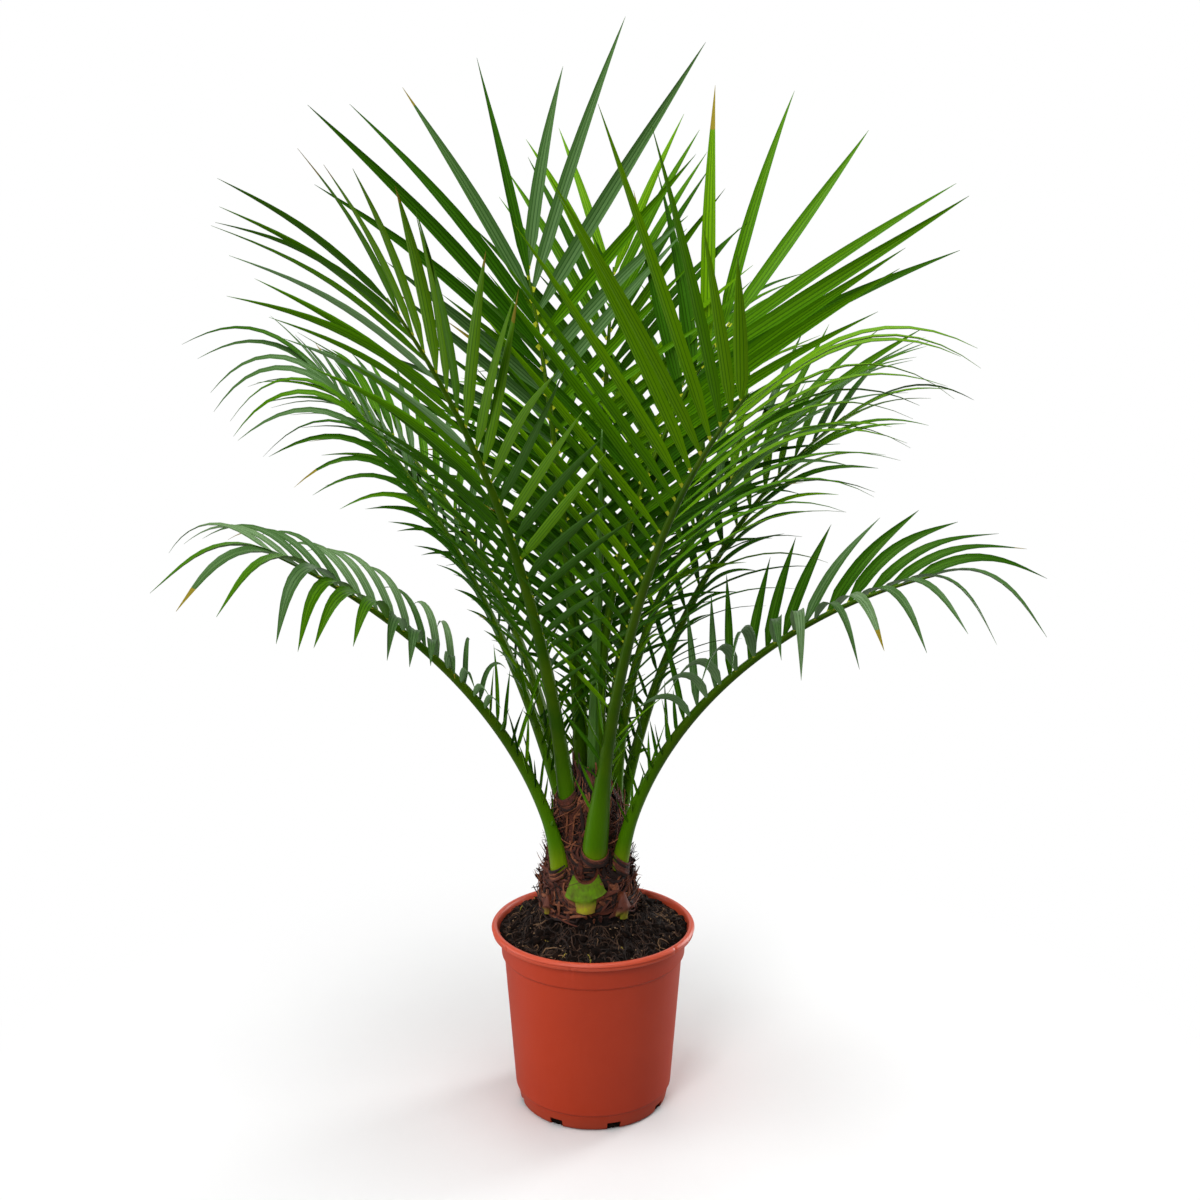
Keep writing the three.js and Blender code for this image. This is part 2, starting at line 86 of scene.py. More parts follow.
world = bpy.data.worlds.new("studio")
world.use_nodes = True
bpy.context.scene.world = world
tree = world.node_tree
tree.nodes.clear()
path_info = tree.nodes.new("ShaderNodeLightPath")
lighting = tree.nodes.new("ShaderNodeBackground")
lighting.inputs["Color"].default_value = SKY
lighting.inputs["Strength"].default_value = WORLD_LIGHT
shown = tree.nodes.new("ShaderNodeBackground")
shown.inputs["Color"].default_value = SKY
choice = tree.nodes.new("ShaderNodeMixShader")
world_out = tree.nodes.new("ShaderNodeOutputWorld")
tree.links.new(path_info.outputs["Is Camera Ray"], choice.inputs["Fac"])
tree.links.new(lighting.outputs["Background"], choice.inputs[1])
tree.links.new(shown.outputs["Background"], choice.inputs[2])
tree.links.new(choice.outputs["Shader"], world_out.inputs["Surface"])


def softbox(name, place, aim, size, watts):
    """A rectangular light at place that shines towards aim."""
    data = bpy.data.lights.new(name, "AREA")
    data.shape = "RECTANGLE"
    data.size, data.size_y = size
    data.energy = watts
    lamp = bpy.data.objects.new(name, data)
    lamp.location = place
    lamp.rotation_euler = (Vector(aim) - Vector(place)).to_track_quat("-Z", "Y").to_euler()
    bpy.context.scene.collection.objects.link(lamp)


softbox("key_front", (-0.9, -2.3, 1.9), (0, 0, 0.6), (1.0, 1.3), 33)
softbox("side_left", (-1.5, 0.0, 0.35), (0, 0, 0.2), (0.8, 0.9), 9)
softbox("edge_right", (1.3, 0.9, 0.5), (0, 0, 0.2), (0.5, 1.2), 17)
softbox("top", (0.1, -0.3, 2.6), (0, 0, 0.8), (1.5, 1.5), 46)
softbox("back", (-0.2, 2.2, 1.6), (0, 0, 0.7), (1.6, 1.4), 8)

# %% [markdown]
# ## Small tools for shapes
#
# Almost everything on a plant is either a tube, a ribbon or something turned on a wheel. Three
# helpers make those as plain lists of points and faces. A heap then joins many of them into one
# mesh, which is far lighter for Blender than thousands of objects, and each face keeps the
# number of the finish that it will wear.


# %% Numbers and directions
def lerp(a, b, share):
    return a + (b - a) * share


def smooth(value, low, high):
    share = np.clip((value - low) / (high - low), 0.0, 1.0)
    return share * share * (3 - 2 * share)


def unit(vector):
    vector = np.asarray(vector, float)
    return vector / np.linalg.norm(vector, axis=-1, keepdims=True)


def turned(vectors, axis, angles):
    """Vectors turned about one axis, each by its own angle in radians."""
    vectors = np.broadcast_to(vectors, (len(angles), 3))
    cos, sin = np.cos(angles)[:, None], np.sin(angles)[:, None]
    dot = (vectors @ axis)[:, None]
    return vectors * cos + np.cross(axis, vectors) * sin + axis * dot * (1 - cos)


def around(azimuth, radius, height):
    """A point at an azimuth in degrees from +X, in the units of radius and height."""
    angle = math.radians(azimuth)
    return np.array([radius * math.cos(angle), radius * math.sin(angle), height])


# %% Joining many small shapes into one piece
class Heap:
    """Points and faces of many small closed shapes, with the finish of each face."""

    def __init__(self):
        self.points, self.faces, self.finish = [], [], []

    def add(self, points, faces, finish=0):
        first = len(self.points)
        self.points.extend(np.asarray(points).tolist())
        self.faces.extend([first + corner for corner in face] for face in faces)
        self.finish.extend([finish] * len(faces) if np.isscalar(finish) else finish)


def new_piece(name, heap, finishes, nodes=(), sharp=None):
    """One object of a heap, riding with the plant in place of the CAD nodes named."""
    mesh = bpy.data.meshes.new(name)
    mesh.from_pydata(heap.points, [], heap.faces)
    for finish in finishes:
        mesh.materials.append(finish)
    mesh.polygons.foreach_set("material_index", heap.finish)
    mesh.polygons.foreach_set("use_smooth", [True] * len(mesh.polygons))
    if sharp:
        mesh.set_sharp_from_angle(angle=math.radians(sharp))
    thing = bpy.data.objects.new(name, mesh)
    bpy.context.scene.collection.objects.link(thing)
    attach(thing, "root")
    if nodes:
        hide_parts(*nodes)
    print(f"{name}: {sum(len(face) - 2 for face in heap.faces)} triangles")
    return thing


# %% Tubes, ribbons and turned shapes
@functools.lru_cache(maxsize=None)
def ring_faces(rings, size, clockwise=False):
    """The faces between rings of equal size, with both ends closed."""
    faces = []
    for ring in range(rings - 1):
        for corner in range(size):
            a, b = ring * size + corner, ring * size + (corner + 1) % size
            face = (a, b, b + size, a + size)
            faces.append(face[::-1] if clockwise else face)
    first, last = tuple(range(size)), tuple(range((rings - 1) * size, rings * size))
    faces.append(first if clockwise else first[::-1])
    faces.append(last[::-1] if clockwise else last)
    return faces


def tube(path, radii, sides=4, flat=1.0):
    """A closed tube along a path. flat squeezes its second axis."""
    path = np.asarray(path, float)
    tangent = unit(np.gradient(path, axis=0))
    spare = np.eye(3)[np.argmin(np.abs(tangent.mean(axis=0)))]
    across = unit(np.cross(tangent, spare))
    other = np.cross(tangent, across)
    turn = np.arange(sides) / sides * math.tau
    radii = np.broadcast_to(radii, len(path))[:, None, None]
    ring = across[:, None] * np.cos(turn)[:, None] + other[:, None] * np.sin(turn)[:, None] * flat
    points = path[:, None] + ring * radii
    return points.reshape(-1, 3), ring_faces(len(path), sides)


def ribbon(path, across, facing, half_width, columns, relief, thickness):
    """A closed strip: a top side with a relief, and an underside that runs back below it."""
    top = (
        path[:, None]
        + across[:, None] * (half_width[:, None] * columns)[..., None]
        + facing[:, None] * (half_width[:, None] * relief)[..., None]
    )
    under = top[:, 1:-1] - facing[:, None] * thickness[:, None, None]
    points = np.concatenate([top, under[:, ::-1]], axis=1)
    return points.reshape(-1, 3), ring_faces(len(path), points.shape[1], True)


def turned_shape(profile, azimuths):
    """A closed shape turned about the Z axis from (radius, height) points, axis to axis."""
    angles = np.radians(azimuths)
    inner = np.array(profile[1:-1], float)
    rings = np.empty((len(inner), len(angles), 3))
    rings[..., 0] = inner[:, :1] * np.cos(angles)
    rings[..., 1] = inner[:, :1] * np.sin(angles)
    rings[..., 2] = inner[:, 1:]
    size = len(angles)
    ends = [(0, 0, profile[0][1]), (0, 0, profile[-1][1])]
    points = np.concatenate([rings.reshape(-1, 3), ends])
    first, last, top = len(points) - 2, len(points) - 1, (len(inner) - 1) * size
    faces = ring_faces(len(inner), size)[:-2]
    for corner in range(size):
        follower = (corner + 1) % size
        faces.append((first, follower, corner))
        faces.append((last, top + corner, top + follower))
    return points, faces


def rough(place, scale, octaves=4, seed=0.0):
    """Fractal noise at a point in metres, about -1 to 1."""
    at = Vector(place) * scale + Vector((seed, seed * 0.7, -seed))
    return noise.fractal(at, 0.9, 2.1, octaves)


print("shape tools ready")

# %% [markdown]
# ## Shared surface effects
#
# Three effects return in many finishes, so each is a node group that every material sets in its
# own way: mottling between two close colours, a grain that can be stretched into fibres, and a
# mask that follows height. They only put out colours and masks; each material keeps its own
# shader, because gloss and light belong to the surface and not to a pattern.


# %% Node group tools
def colour(red, green, blue):
    """A colour mixed as screen values from 0 to 255, in the shader's linear scale."""
    def linear(part):
        part /= 255
        return part / 12.92 if part <= 0.04045 else ((part + 0.055) / 1.055) ** 2.4
    return (linear(red), linear(green), linear(blue), 1.0)


def new_group(name, inputs, outputs):
    """An empty shader node group with named sockets, and its two end nodes."""
    group = bpy.data.node_groups.new(name, "ShaderNodeTree")
    for label, kind, value in inputs:
        socket = group.interface.new_socket(label, in_out="INPUT", socket_type=kind)
        socket.default_value = value
    for label, kind in outputs:
        group.interface.new_socket(label, in_out="OUTPUT", socket_type=kind)
    return group, group.nodes.new("NodeGroupInput"), group.nodes.new("NodeGroupOutput")


FLOAT, TINT, ARROW = "NodeSocketFloat", "NodeSocketColor", "NodeSocketVector"
WHITE = (1.0, 1.0, 1.0, 1.0)

# %% Mottling between two colours
mottle, given, result = new_group(
    "mottle",
    [("Colour", TINT, WHITE), ("Patch Colour", TINT, WHITE), ("Scale", FLOAT, 30.0),
     ("Softness", FLOAT, 0.15)],
    [("Colour", TINT)],
)
place = mottle.nodes.new("ShaderNodeTexCoord")
cloud = mottle.nodes.new("ShaderNodeTexNoise")
cloud.inputs["Detail"].default_value = 5.0
cloud.inputs["Roughness"].default_value = 0.62
low_end = mottle.nodes.new("ShaderNodeMath")
low_end.operation = "SUBTRACT"
low_end.inputs[0].default_value = 0.5
high_end = mottle.nodes.new("ShaderNodeMath")
high_end.inputs[0].default_value = 0.5
spread = mottle.nodes.new("ShaderNodeMapRange")
blend = mottle.nodes.new("ShaderNodeMix")
blend.data_type = "RGBA"
for source, target in (
    (place.outputs["Object"], cloud.inputs["Vector"]),
    (given.outputs["Scale"], cloud.inputs["Scale"]),
    (given.outputs["Softness"], low_end.inputs[1]),
    (given.outputs["Softness"], high_end.inputs[1]),
    (cloud.outputs["Fac"], spread.inputs["Value"]),
    (low_end.outputs[0], spread.inputs["From Min"]),
    (high_end.outputs[0], spread.inputs["From Max"]),
    (spread.outputs["Result"], blend.inputs["Factor"]),
    (given.outputs["Colour"], blend.inputs["A"]),
    (given.outputs["Patch Colour"], blend.inputs["B"]),
    (blend.outputs["Result"], result.inputs["Colour"]),
):
    mottle.links.new(source, target)
print("group:", mottle.name)

# %% A grain that can be stretched
grain, given, result = new_group(
    "grain",
    [("Scale", FLOAT, 200.0), ("Stretch", ARROW, (1.0, 1.0, 1.0)),
     ("Low", FLOAT, 0.0), ("High", FLOAT, 1.0)],
    [("Value", FLOAT)],
)
place = grain.nodes.new("ShaderNodeTexCoord")
stretched = grain.nodes.new("ShaderNodeVectorMath")
stretched.operation = "MULTIPLY"
cloud = grain.nodes.new("ShaderNodeTexNoise")
cloud.inputs["Detail"].default_value = 3.0
spread = grain.nodes.new("ShaderNodeMapRange")
spread.inputs["From Min"].default_value = 0.3
spread.inputs["From Max"].default_value = 0.7
for source, target in (
    (place.outputs["Object"], stretched.inputs[0]),
    (given.outputs["Stretch"], stretched.inputs[1]),
    (stretched.outputs["Vector"], cloud.inputs["Vector"]),
    (given.outputs["Scale"], cloud.inputs["Scale"]),
    (cloud.outputs["Fac"], spread.inputs["Value"]),
    (given.outputs["Low"], spread.inputs["To Min"]),
    (given.outputs["High"], spread.inputs["To Max"]),
    (spread.outputs["Result"], result.inputs["Value"]),
):
    grain.links.new(source, target)
print("group:", grain.name)

# %% A mask that follows height
rise, given, result = new_group(
    "rise", [("Low", FLOAT, 0.0), ("High", FLOAT, 1.0)], [("Mask", FLOAT)]
)
place = rise.nodes.new("ShaderNodeTexCoord")
parts = rise.nodes.new("ShaderNodeSeparateXYZ")
spread = rise.nodes.new("ShaderNodeMapRange")
spread.interpolation_type = "SMOOTHSTEP"
for source, target in (
    (place.outputs["Object"], parts.inputs["Vector"]),
    (parts.outputs["Z"], spread.inputs["Value"]),
    (given.outputs["Low"], spread.inputs["From Min"]),
    (given.outputs["High"], spread.inputs["From Max"]),
    (spread.outputs["Result"], result.inputs["Mask"]),
):
    rise.links.new(source, target)
print("group:", rise.name)


# %% Material tools
class Finish:
    """A material with one Principled shader, and short ways to feed it."""

    def __init__(self, name, roughness=0.5):
        self.material = bpy.data.materials.new(name)
        self.material.use_nodes = True
        self.tree = self.material.node_tree
        self.shader = self.tree.nodes["Principled BSDF"]
        self.shader.inputs["Roughness"].default_value = roughness

    def effect(self, group, **values):
        node = self.tree.nodes.new("ShaderNodeGroup")
        node.node_tree = group
        for label, value in values.items():
            node.inputs[label.replace("_", " ")].default_value = value
        return node

    def mottled(self, base, patch, scale, softness=0.15):
        node = self.effect(mottle, Colour=base, Patch_Colour=patch, Scale=scale, Softness=softness)
        return node.outputs["Colour"]

    def mixed(self, mask, first, second):
        """first where mask is 0 and second where it is 1; each is a socket or a colour."""
        node = self.tree.nodes.new("ShaderNodeMix")
        node.data_type = "RGBA"
        self.tree.links.new(mask, node.inputs["Factor"])
        for label, value in (("A", first), ("B", second)):
            if isinstance(value, bpy.types.NodeSocket):
                self.tree.links.new(value, node.inputs[label])
            else:
                node.inputs[label].default_value = value
        return node.outputs["Result"]

    def scaled(self, mask, amount):
        """A mask made weaker by a factor."""
        node = self.tree.nodes.new("ShaderNodeMath")
        node.operation = "MULTIPLY"
        node.inputs[1].default_value = amount
        self.tree.links.new(mask, node.inputs[0])
        return node.outputs[0]

    def feed(self, label, socket):
        self.tree.links.new(socket, self.shader.inputs[label])

    def relief(self, height, strength, distance):
        bump = self.tree.nodes.new("ShaderNodeBump")
        bump.inputs["Strength"].default_value = strength
        bump.inputs["Distance"].default_value = distance
        self.tree.links.new(height, bump.inputs["Height"])
        self.feed("Normal", bump.outputs["Normal"])

    def grained(self, scale, stretch=(1, 1, 1), low=0.0, high=1.0):
        node = self.effect(grain, Scale=scale, Stretch=stretch, Low=low, High=high)
        return node.outputs["Value"]


print("material tools ready")

# %% [markdown]
# ## The floor
#
# The pot stands on a plain pale floor. Near the pot it takes a soft shadow like any matte board.
# Further out it turns into plain white light, so that no horizon line shows behind the plant.

# %% Floor
FLOOR_SIZE = 14.0
FLOOR_STEPS = 28

floor_finish = bpy.data.materials.new("pale_floor")
floor_finish.use_nodes = True
tree = floor_finish.node_tree
board = tree.nodes["Principled BSDF"]
board.inputs["Base Color"].default_value = colour(246, 246, 246)
board.inputs["Roughness"].default_value = 0.9
glow = tree.nodes.new("ShaderNodeEmission")
glow.inputs["Strength"].default_value = 1.0
place = tree.nodes.new("ShaderNodeTexCoord")
distance = tree.nodes.new("ShaderNodeVectorMath")
distance.operation = "LENGTH"
fade = tree.nodes.new("ShaderNodeMapRange")
fade.interpolation_type = "SMOOTHSTEP"
fade.inputs["From Min"].default_value = 0.15
fade.inputs["From Max"].default_value = 0.8
choice = tree.nodes.new("ShaderNodeMixShader")
dim_board = tree.nodes.new("ShaderNodeBsdfDiffuse")
dim_board.inputs["Color"].default_value = colour(150, 150, 150)
path_info = tree.nodes.new("ShaderNodeLightPath")
seen = tree.nodes.new("ShaderNodeMixShader")
for source, target in (
    (place.outputs["Object"], distance.inputs[0]),
    (distance.outputs["Value"], fade.inputs["Value"]),
    (fade.outputs["Result"], choice.inputs["Fac"]),
    (board.outputs["BSDF"], choice.inputs[1]),
    (glow.outputs["Emission"], choice.inputs[2]),
    (path_info.outputs["Is Camera Ray"], seen.inputs["Fac"]),
    (dim_board.outputs["BSDF"], seen.inputs[1]),
    (choice.outputs["Shader"], seen.inputs[2]),
    (seen.outputs["Shader"], tree.nodes["Material Output"].inputs["Surface"]),
):
    tree.links.new(source, target)

line = np.linspace(-FLOOR_SIZE / 2, FLOOR_SIZE / 2, FLOOR_STEPS + 1)
floor_points = [(x, y, 0.0) for y in line for x in line]
row_step = FLOOR_STEPS + 1
floor_faces = [
    (a, a + 1, a + row_step + 1, a + row_step)
    for row in range(FLOOR_STEPS)
    for a in range(row * row_step, row * row_step + FLOOR_STEPS)
]
floor_mesh = bpy.data.meshes.new("floor")
floor_mesh.from_pydata(floor_points, [], floor_faces)
floor_mesh.materials.append(floor_finish)
floor = bpy.data.objects.new("floor", floor_mesh)
bpy.context.scene.collection.objects.link(floor)
print("floor:", FLOOR_SIZE, "m wide")

# %% [markdown]
# ## The pot
#
# A nursery pot is blown or moulded from thin terracotta-coloured plastic. Its wall tapers down to
# a foot band, a collar stiffens the top, and the rolled rim has a bead over a narrow band. One
# outline turned on the axis gives all of that; corners are rounded by short arcs so that they
# catch light. The drain slots are cut afterwards, as the mould's inserts do.

# %% Pot outline
POT = {
    "height": 220, "wall": 2.2, "floor": 3, "foot": 87, "foot_top": 90.5, "foot_height": 20,
    "body_foot": 92.5, "body_top": 104.5, "body_height": 182, "collar": 108, "collar_top": 108.6,
    "collar_bottom": 186, "band_bottom": 210.4, "band": 118.2, "band_top": 214.6,
    "bead": 119.5, "bead_bottom": 215.2, "bead_inner": 111.5,
}
ROUND_STEPS = 4
CORNER_SHARE = 0.45  # the part of a side that one rounded corner may take


def rounded(corners):
    """An outline whose corners, given as (radius, height, rounding), become short arcs."""
    outline = []
    for index, (radius, height, rounding) in enumerate(corners):
        here = np.array([radius, height], float)
        if rounding == 0:
            outline.append(here)
            continue
        before = np.array(corners[index - 1][:2], float) - here
        after = np.array(corners[index + 1][:2], float) - here
        start = here + unit(before) * min(rounding, np.linalg.norm(before) * CORNER_SHARE)
        end = here + unit(after) * min(rounding, np.linalg.norm(after) * CORNER_SHARE)
        for share in np.linspace(0, 1, ROUND_STEPS + 1):
            outline.append(lerp(lerp(start, here, share), lerp(here, end, share), share))
    return [(point[0] * MM, point[1] * MM) for point in outline]


pot_corners = [
    (0, 0, 0),
    (POT["foot"] - 3, 0, 2),
    (POT["foot"], 2.5, 2.5),
    (POT["foot_top"], POT["foot_height"] - 0.6, 0.5),
    (POT["foot_top"] + 0.3, POT["foot_height"], 0.3),
    (POT["body_foot"], POT["foot_height"] + 2, 1.2),
    (POT["body_top"], POT["body_height"], 0.8),
    (POT["collar"] - 0.2, POT["collar_bottom"] - 0.6, 1.2),
    (POT["collar_top"], POT["band_bottom"] - 0.5, 1.5),
    (POT["band"], POT["band_bottom"] + 0.4, 2.2),
    (POT["band"] + 0.3, POT["band_top"], 0.8),
    (POT["band"] - 0.6, POT["band_top"] + 0.5, 0.3),
    (POT["bead"] - 0.4, POT["bead_bottom"] + 0.4, 1.2),
    (POT["bead"], POT["height"] - 3, 2.2),
    (POT["bead"] - 2.4, POT["height"], 2.4),
    (POT["bead_inner"] + 1.6, POT["height"], 2.2),
    (POT["bead_inner"], POT["height"] - 3, 2),
    (POT["bead_inner"] - 1.5, POT["band_bottom"], 2),
    (POT["collar"] - POT["wall"], POT["band_bottom"] - POT["wall"], 1.5),
    (POT["collar"] - POT["wall"], POT["collar_bottom"], 0.8),
    (POT["body_top"] - POT["wall"], POT["body_height"], 0.8),
    (POT["body_foot"] - POT["wall"], POT["foot_height"] + 2, 0.8),
    (POT["foot"] - POT["wall"], POT["floor"], 1.5),
    (0, POT["floor"], 0),
]
pot_outline = rounded(pot_corners)
print("pot outline points:", len(pot_outline))

# %% [markdown]
# Pots like this get knocked about: the rim carries a few small nicks. Extra columns of points
# around each nick let the mesh follow a dent two millimetres wide without a fine mesh elsewhere.

# %% Pot mesh with nicks
POT_COLUMNS = 168
NICKS = [  # azimuth, width in degrees, depth in mm, height in mm
    (-167, 1.1, 1.3, 216), (-146, 0.8, 1.4, 215), (-105.5, 2.4, 0.8, 213), (-102, 0.9, 1.3, 212),
    (-98, 1.5, 0.7, 213), (-38, 0.9, 0.8, 217), (64, 1.2, 1.0, 215), (141, 1.0, 0.9, 213),
]
NICK_REACH = 7.0  # mm, how tall a dent is
NICK_COLUMNS = np.linspace(-1.6, 1.6, 9)  # extra columns, in widths of the nick
NICK_SINK = 0.6  # how far the top edge drops, as a part of the dent's depth

azimuths = set(np.round(np.arange(POT_COLUMNS) * 360 / POT_COLUMNS - 180, 3))
for azimuth, width, _, _ in NICKS:
    azimuths.update(np.round(azimuth + width * NICK_COLUMNS, 3))
azimuths = sorted(azimuths)
points, faces = turned_shape(pot_outline, azimuths)
turn = np.degrees(np.arctan2(points[:, 1], points[:, 0]))
radius = np.hypot(points[:, 0], points[:, 1])
for azimuth, width, depth, height in NICKS:
    away = (turn - azimuth) / width
    drop = (points[:, 2] / MM - height) / NICK_REACH * 2
    dent = depth * MM * np.exp(-away**2) * np.exp(-drop**2) * (radius > POT["collar_top"] * MM)
    points[:, :2] *= (1 - dent / np.maximum(radius, MM))[:, None]
    points[:, 2] -= dent * NICK_SINK * (points[:, 2] > (POT["height"] - 4) * MM)
pot_heap = Heap()
pot_heap.add(points, faces)
print("pot columns:", len(azimuths))

# %% [markdown]
# The plastic is one colour with faint clouds. The rim is painted a little paler, a painted
# highlight for the light that its thin edge lets through, and the foot has taken some dust.

# %% Pot plastic
pot_plastic = Finish("pot_plastic", 0.42)
clay = pot_plastic.mottled(colour(207, 64, 25), colour(197, 58, 22), 7.0, 0.25)
# painted highlight: the rim band is mixed towards a paler red
rim_highlight_mask = pot_plastic.effect(rise, Low=0.2085, High=0.2100).outputs["Mask"]
clay = pot_plastic.mixed(pot_plastic.scaled(rim_highlight_mask, 0.75), clay, colour(220, 88, 58))
dust_mask = pot_plastic.effect(rise, Low=0.03, High=0.0).outputs["Mask"]
clay = pot_plastic.mixed(pot_plastic.scaled(dust_mask, 0.22), clay, colour(150, 84, 58))
pot_plastic.feed("Base Color", clay)
pot_plastic.feed("Roughness", pot_plastic.grained(9.0, low=0.36, high=0.5))
pot_plastic.relief(pot_plastic.grained(420.0), 0.10, 0.0004)
print("finish:", pot_plastic.material.name)

# %% Pot piece with its drain slots
SLOTS = {"count": 8, "first": -74, "width": 16, "height": 10, "depth": 12, "radius": 90.5}
POT_CREASE = 38  # degrees; edges sharper than this stay crisp


def slot_cutter():
    """Eight blocks, standing where the drain slots go through the foot."""
    heap = Heap()
    half = np.array([SLOTS["depth"], SLOTS["width"] / 2, SLOTS["height"]]) * MM
    corner_signs = [(-1, -1, -1), (-1, 1, -1), (1, 1, -1), (1, -1, -1),
                    (-1, -1, 1), (-1, 1, 1), (1, 1, 1), (1, -1, 1)]
    sides = [(0, 1, 2, 3), (7, 6, 5, 4), (0, 4, 5, 1), (1, 5, 6, 2), (2, 6, 7, 3), (3, 7, 4, 0)]
    for index in range(SLOTS["count"]):
        azimuth = SLOTS["first"] + index * 360 / SLOTS["count"]
        out, side = around(azimuth, 1, 0), around(azimuth + 90, 1, 0)
        middle = around(azimuth, SLOTS["radius"] * MM, 0)
        corners = [middle + out * half[0] * x + side * half[1] * y + (0, 0, half[2] * z)
                   for x, y, z in corner_signs]
        heap.add(corners, sides)
    mesh = bpy.data.meshes.new("slot_cutter")
    mesh.from_pydata(heap.points, [], heap.faces)
    cutter = bpy.data.objects.new("slot_cutter", mesh)
    bpy.context.scene.collection.objects.link(cutter)
    return cutter


def with_modifiers(thing):
    """Replaces the object's mesh by what its modifiers make of it, and drops them."""
    shape = thing.evaluated_get(bpy.context.evaluated_depsgraph_get())
    mesh = bpy.data.meshes.new_from_object(shape)
    thing.modifiers.clear()
    thing.data = mesh


pot = new_piece("pot_shell", pot_heap, [pot_plastic.material], ["pot"])
cutter = slot_cutter()
cut = pot.modifiers.new("slots", "BOOLEAN")
cut.operation = "DIFFERENCE"
cut.solver = "EXACT"
cut.object = cutter
with_modifiers(pot)
bpy.data.objects.remove(cutter)
pot.data.polygons.foreach_set("use_smooth", [True] * len(pot.data.polygons))
pot.data.set_sharp_from_angle(angle=math.radians(POT_CREASE))
print("pot faces:", len(pot.data.polygons))

# %% [markdown]
# ## Soil
#
# Peat-based potting soil is nearly black, lumpy and full of brown rootlets. A fine grid with
# layered noise makes the ground; crumbs and clods break its outline, and hundreds of thin curved
# tubes lie on it as rootlets. Pale chips and a few yellow shreds sit on top.

# %% Soil surface
SOIL = {"radius": 110.0, "edge": 212.6, "slope_radius": 84, "slope": 219, "mound_radius": 61,
        "mound": 236, "rings": 64, "columns": 260, "relief": 4.6}
# radius and height of the soil's hidden side, just inside the pot's wall
SOIL_SIDE = [(109.2, 211), (105.2, 208), (105.2, 186), (102, 181.8), (90, 22.3), (84.2, 3.3)]


def soil_height(x, y):
    """Height of the soil's surface in metres, lumps included."""
    radius = math.hypot(x, y) / MM
    smooth_height = np.interp(
        radius,
        (0, SOIL["mound_radius"], SOIL["slope_radius"], SOIL["radius"]),
        (SOIL["mound"], SOIL["mound"], SOIL["slope"], SOIL["edge"]),
    )
    # broad humps, then narrow furrows, then fine crumbs
    lumps = 1.1 * rough((x, y, 0), 40, 2, 3.0) - 1.5 * abs(rough((x, y, 0), 75, 2, 8.0)) + 0.3
    lumps += 0.45 * rough((x, y, 0), 210, 2, 5.0)
    fade = 1 - 0.6 * smooth(radius, SOIL["radius"] - 8, SOIL["radius"])
    return (smooth_height + SOIL["relief"] * lumps * fade) * MM


soil_heap = Heap()
rings = []
for ring in range(SOIL["rings"] + 1):
    radius = SOIL["radius"] * (ring / SOIL["rings"]) ** 0.8 * MM
    row = [around(column * 360 / SOIL["columns"], max(radius, 0.2 * MM), 0)
           for column in range(SOIL["columns"])]
    rings.append([(x, y, soil_height(x, y)) for x, y, _ in row])
for radius, height in SOIL_SIDE:
    rings.append([around(column * 360 / SOIL["columns"], radius * MM, height * MM)
                  for column in range(SOIL["columns"])])
soil_points = np.array(rings).reshape(-1, 3)
soil_heap.add(soil_points, ring_faces(len(rings), SOIL["columns"], True))
print("soil points:", len(soil_points))

# %% Crumbs and clods
PHI = (1 + 5**0.5) / 2
LUMP_POINTS = unit([(-1, PHI, 0), (1, PHI, 0), (-1, -PHI, 0), (1, -PHI, 0), (0, -1, PHI),
                    (0, 1, PHI), (0, -1, -PHI), (0, 1, -PHI), (PHI, 0, -1), (PHI, 0, 1),
                    (-PHI, 0, -1), (-PHI, 0, 1)])
LUMP_FACES = [(0, 11, 5), (0, 5, 1), (0, 1, 7), (0, 7, 10), (0, 10, 11), (1, 5, 9), (5, 11, 4),
              (11, 10, 2), (10, 7, 6), (7, 1, 8), (3, 9, 4), (3, 4, 2), (3, 2, 6), (3, 6, 8),
              (3, 8, 9), (4, 9, 5), (2, 4, 11), (6, 2, 10), (8, 6, 7), (9, 8, 1)]


def split_lump():
    """The twenty-sided lump with each face split in four."""
    points, faces, middles = [tuple(p) for p in LUMP_POINTS], [], {}

    def middle(a, b):
        key = (min(a, b), max(a, b))
        if key not in middles:
            middles[key] = len(points)
            points.append(tuple(unit(np.add(points[a], points[b]))))
        return middles[key]

    for a, b, c in LUMP_FACES:
        ab, bc, ca = middle(a, b), middle(b, c), middle(c, a)
        faces += [(a, ab, ca), (b, bc, ab), (c, ca, bc), (ab, bc, ca)]
    return np.array(points), faces


FINE_POINTS, FINE_FACES = split_lump()


def lump(middle, size, chance, fine=False, rugged=0.35):
    """An uneven closed crumb about a middle point; size is its three half axes in metres."""
    points, faces = (FINE_POINTS, FINE_FACES) if fine else (LUMP_POINTS, LUMP_FACES)
    seed = chance.uniform(0, 90)
    swell = np.array([1 + rugged * rough(point, 1.4, 2, seed) for point in points])
    spin = chance.uniform(0, math.tau)
    cos, sin = math.cos(spin), math.sin(spin)
    shaped = points * swell[:, None] * np.asarray(size)
    x, y = shaped[:, 0] * cos - shaped[:, 1] * sin, shaped[:, 0] * sin + shaped[:, 1] * cos
    return np.stack([x, y, shaped[:, 2]], axis=1) + np.asarray(middle), faces


CLODS = 640
CLOD_SIZES = (1.2, 1.6, 2.2, 3.4, 5.2)
FINE_FROM = 2.4  # clods larger than this have the finer mesh
SOIL_START, SOIL_END = 50, 107.0
chance = random.Random(11)


def soil_spot():
    """A random place on the open soil: x, y and the height there."""
    radius = math.sqrt(chance.uniform(SOIL_START**2, SOIL_END**2)) * MM
    x, y, _ = around(chance.uniform(0, 360), radius, 0)
    return x, y, soil_height(x, y)


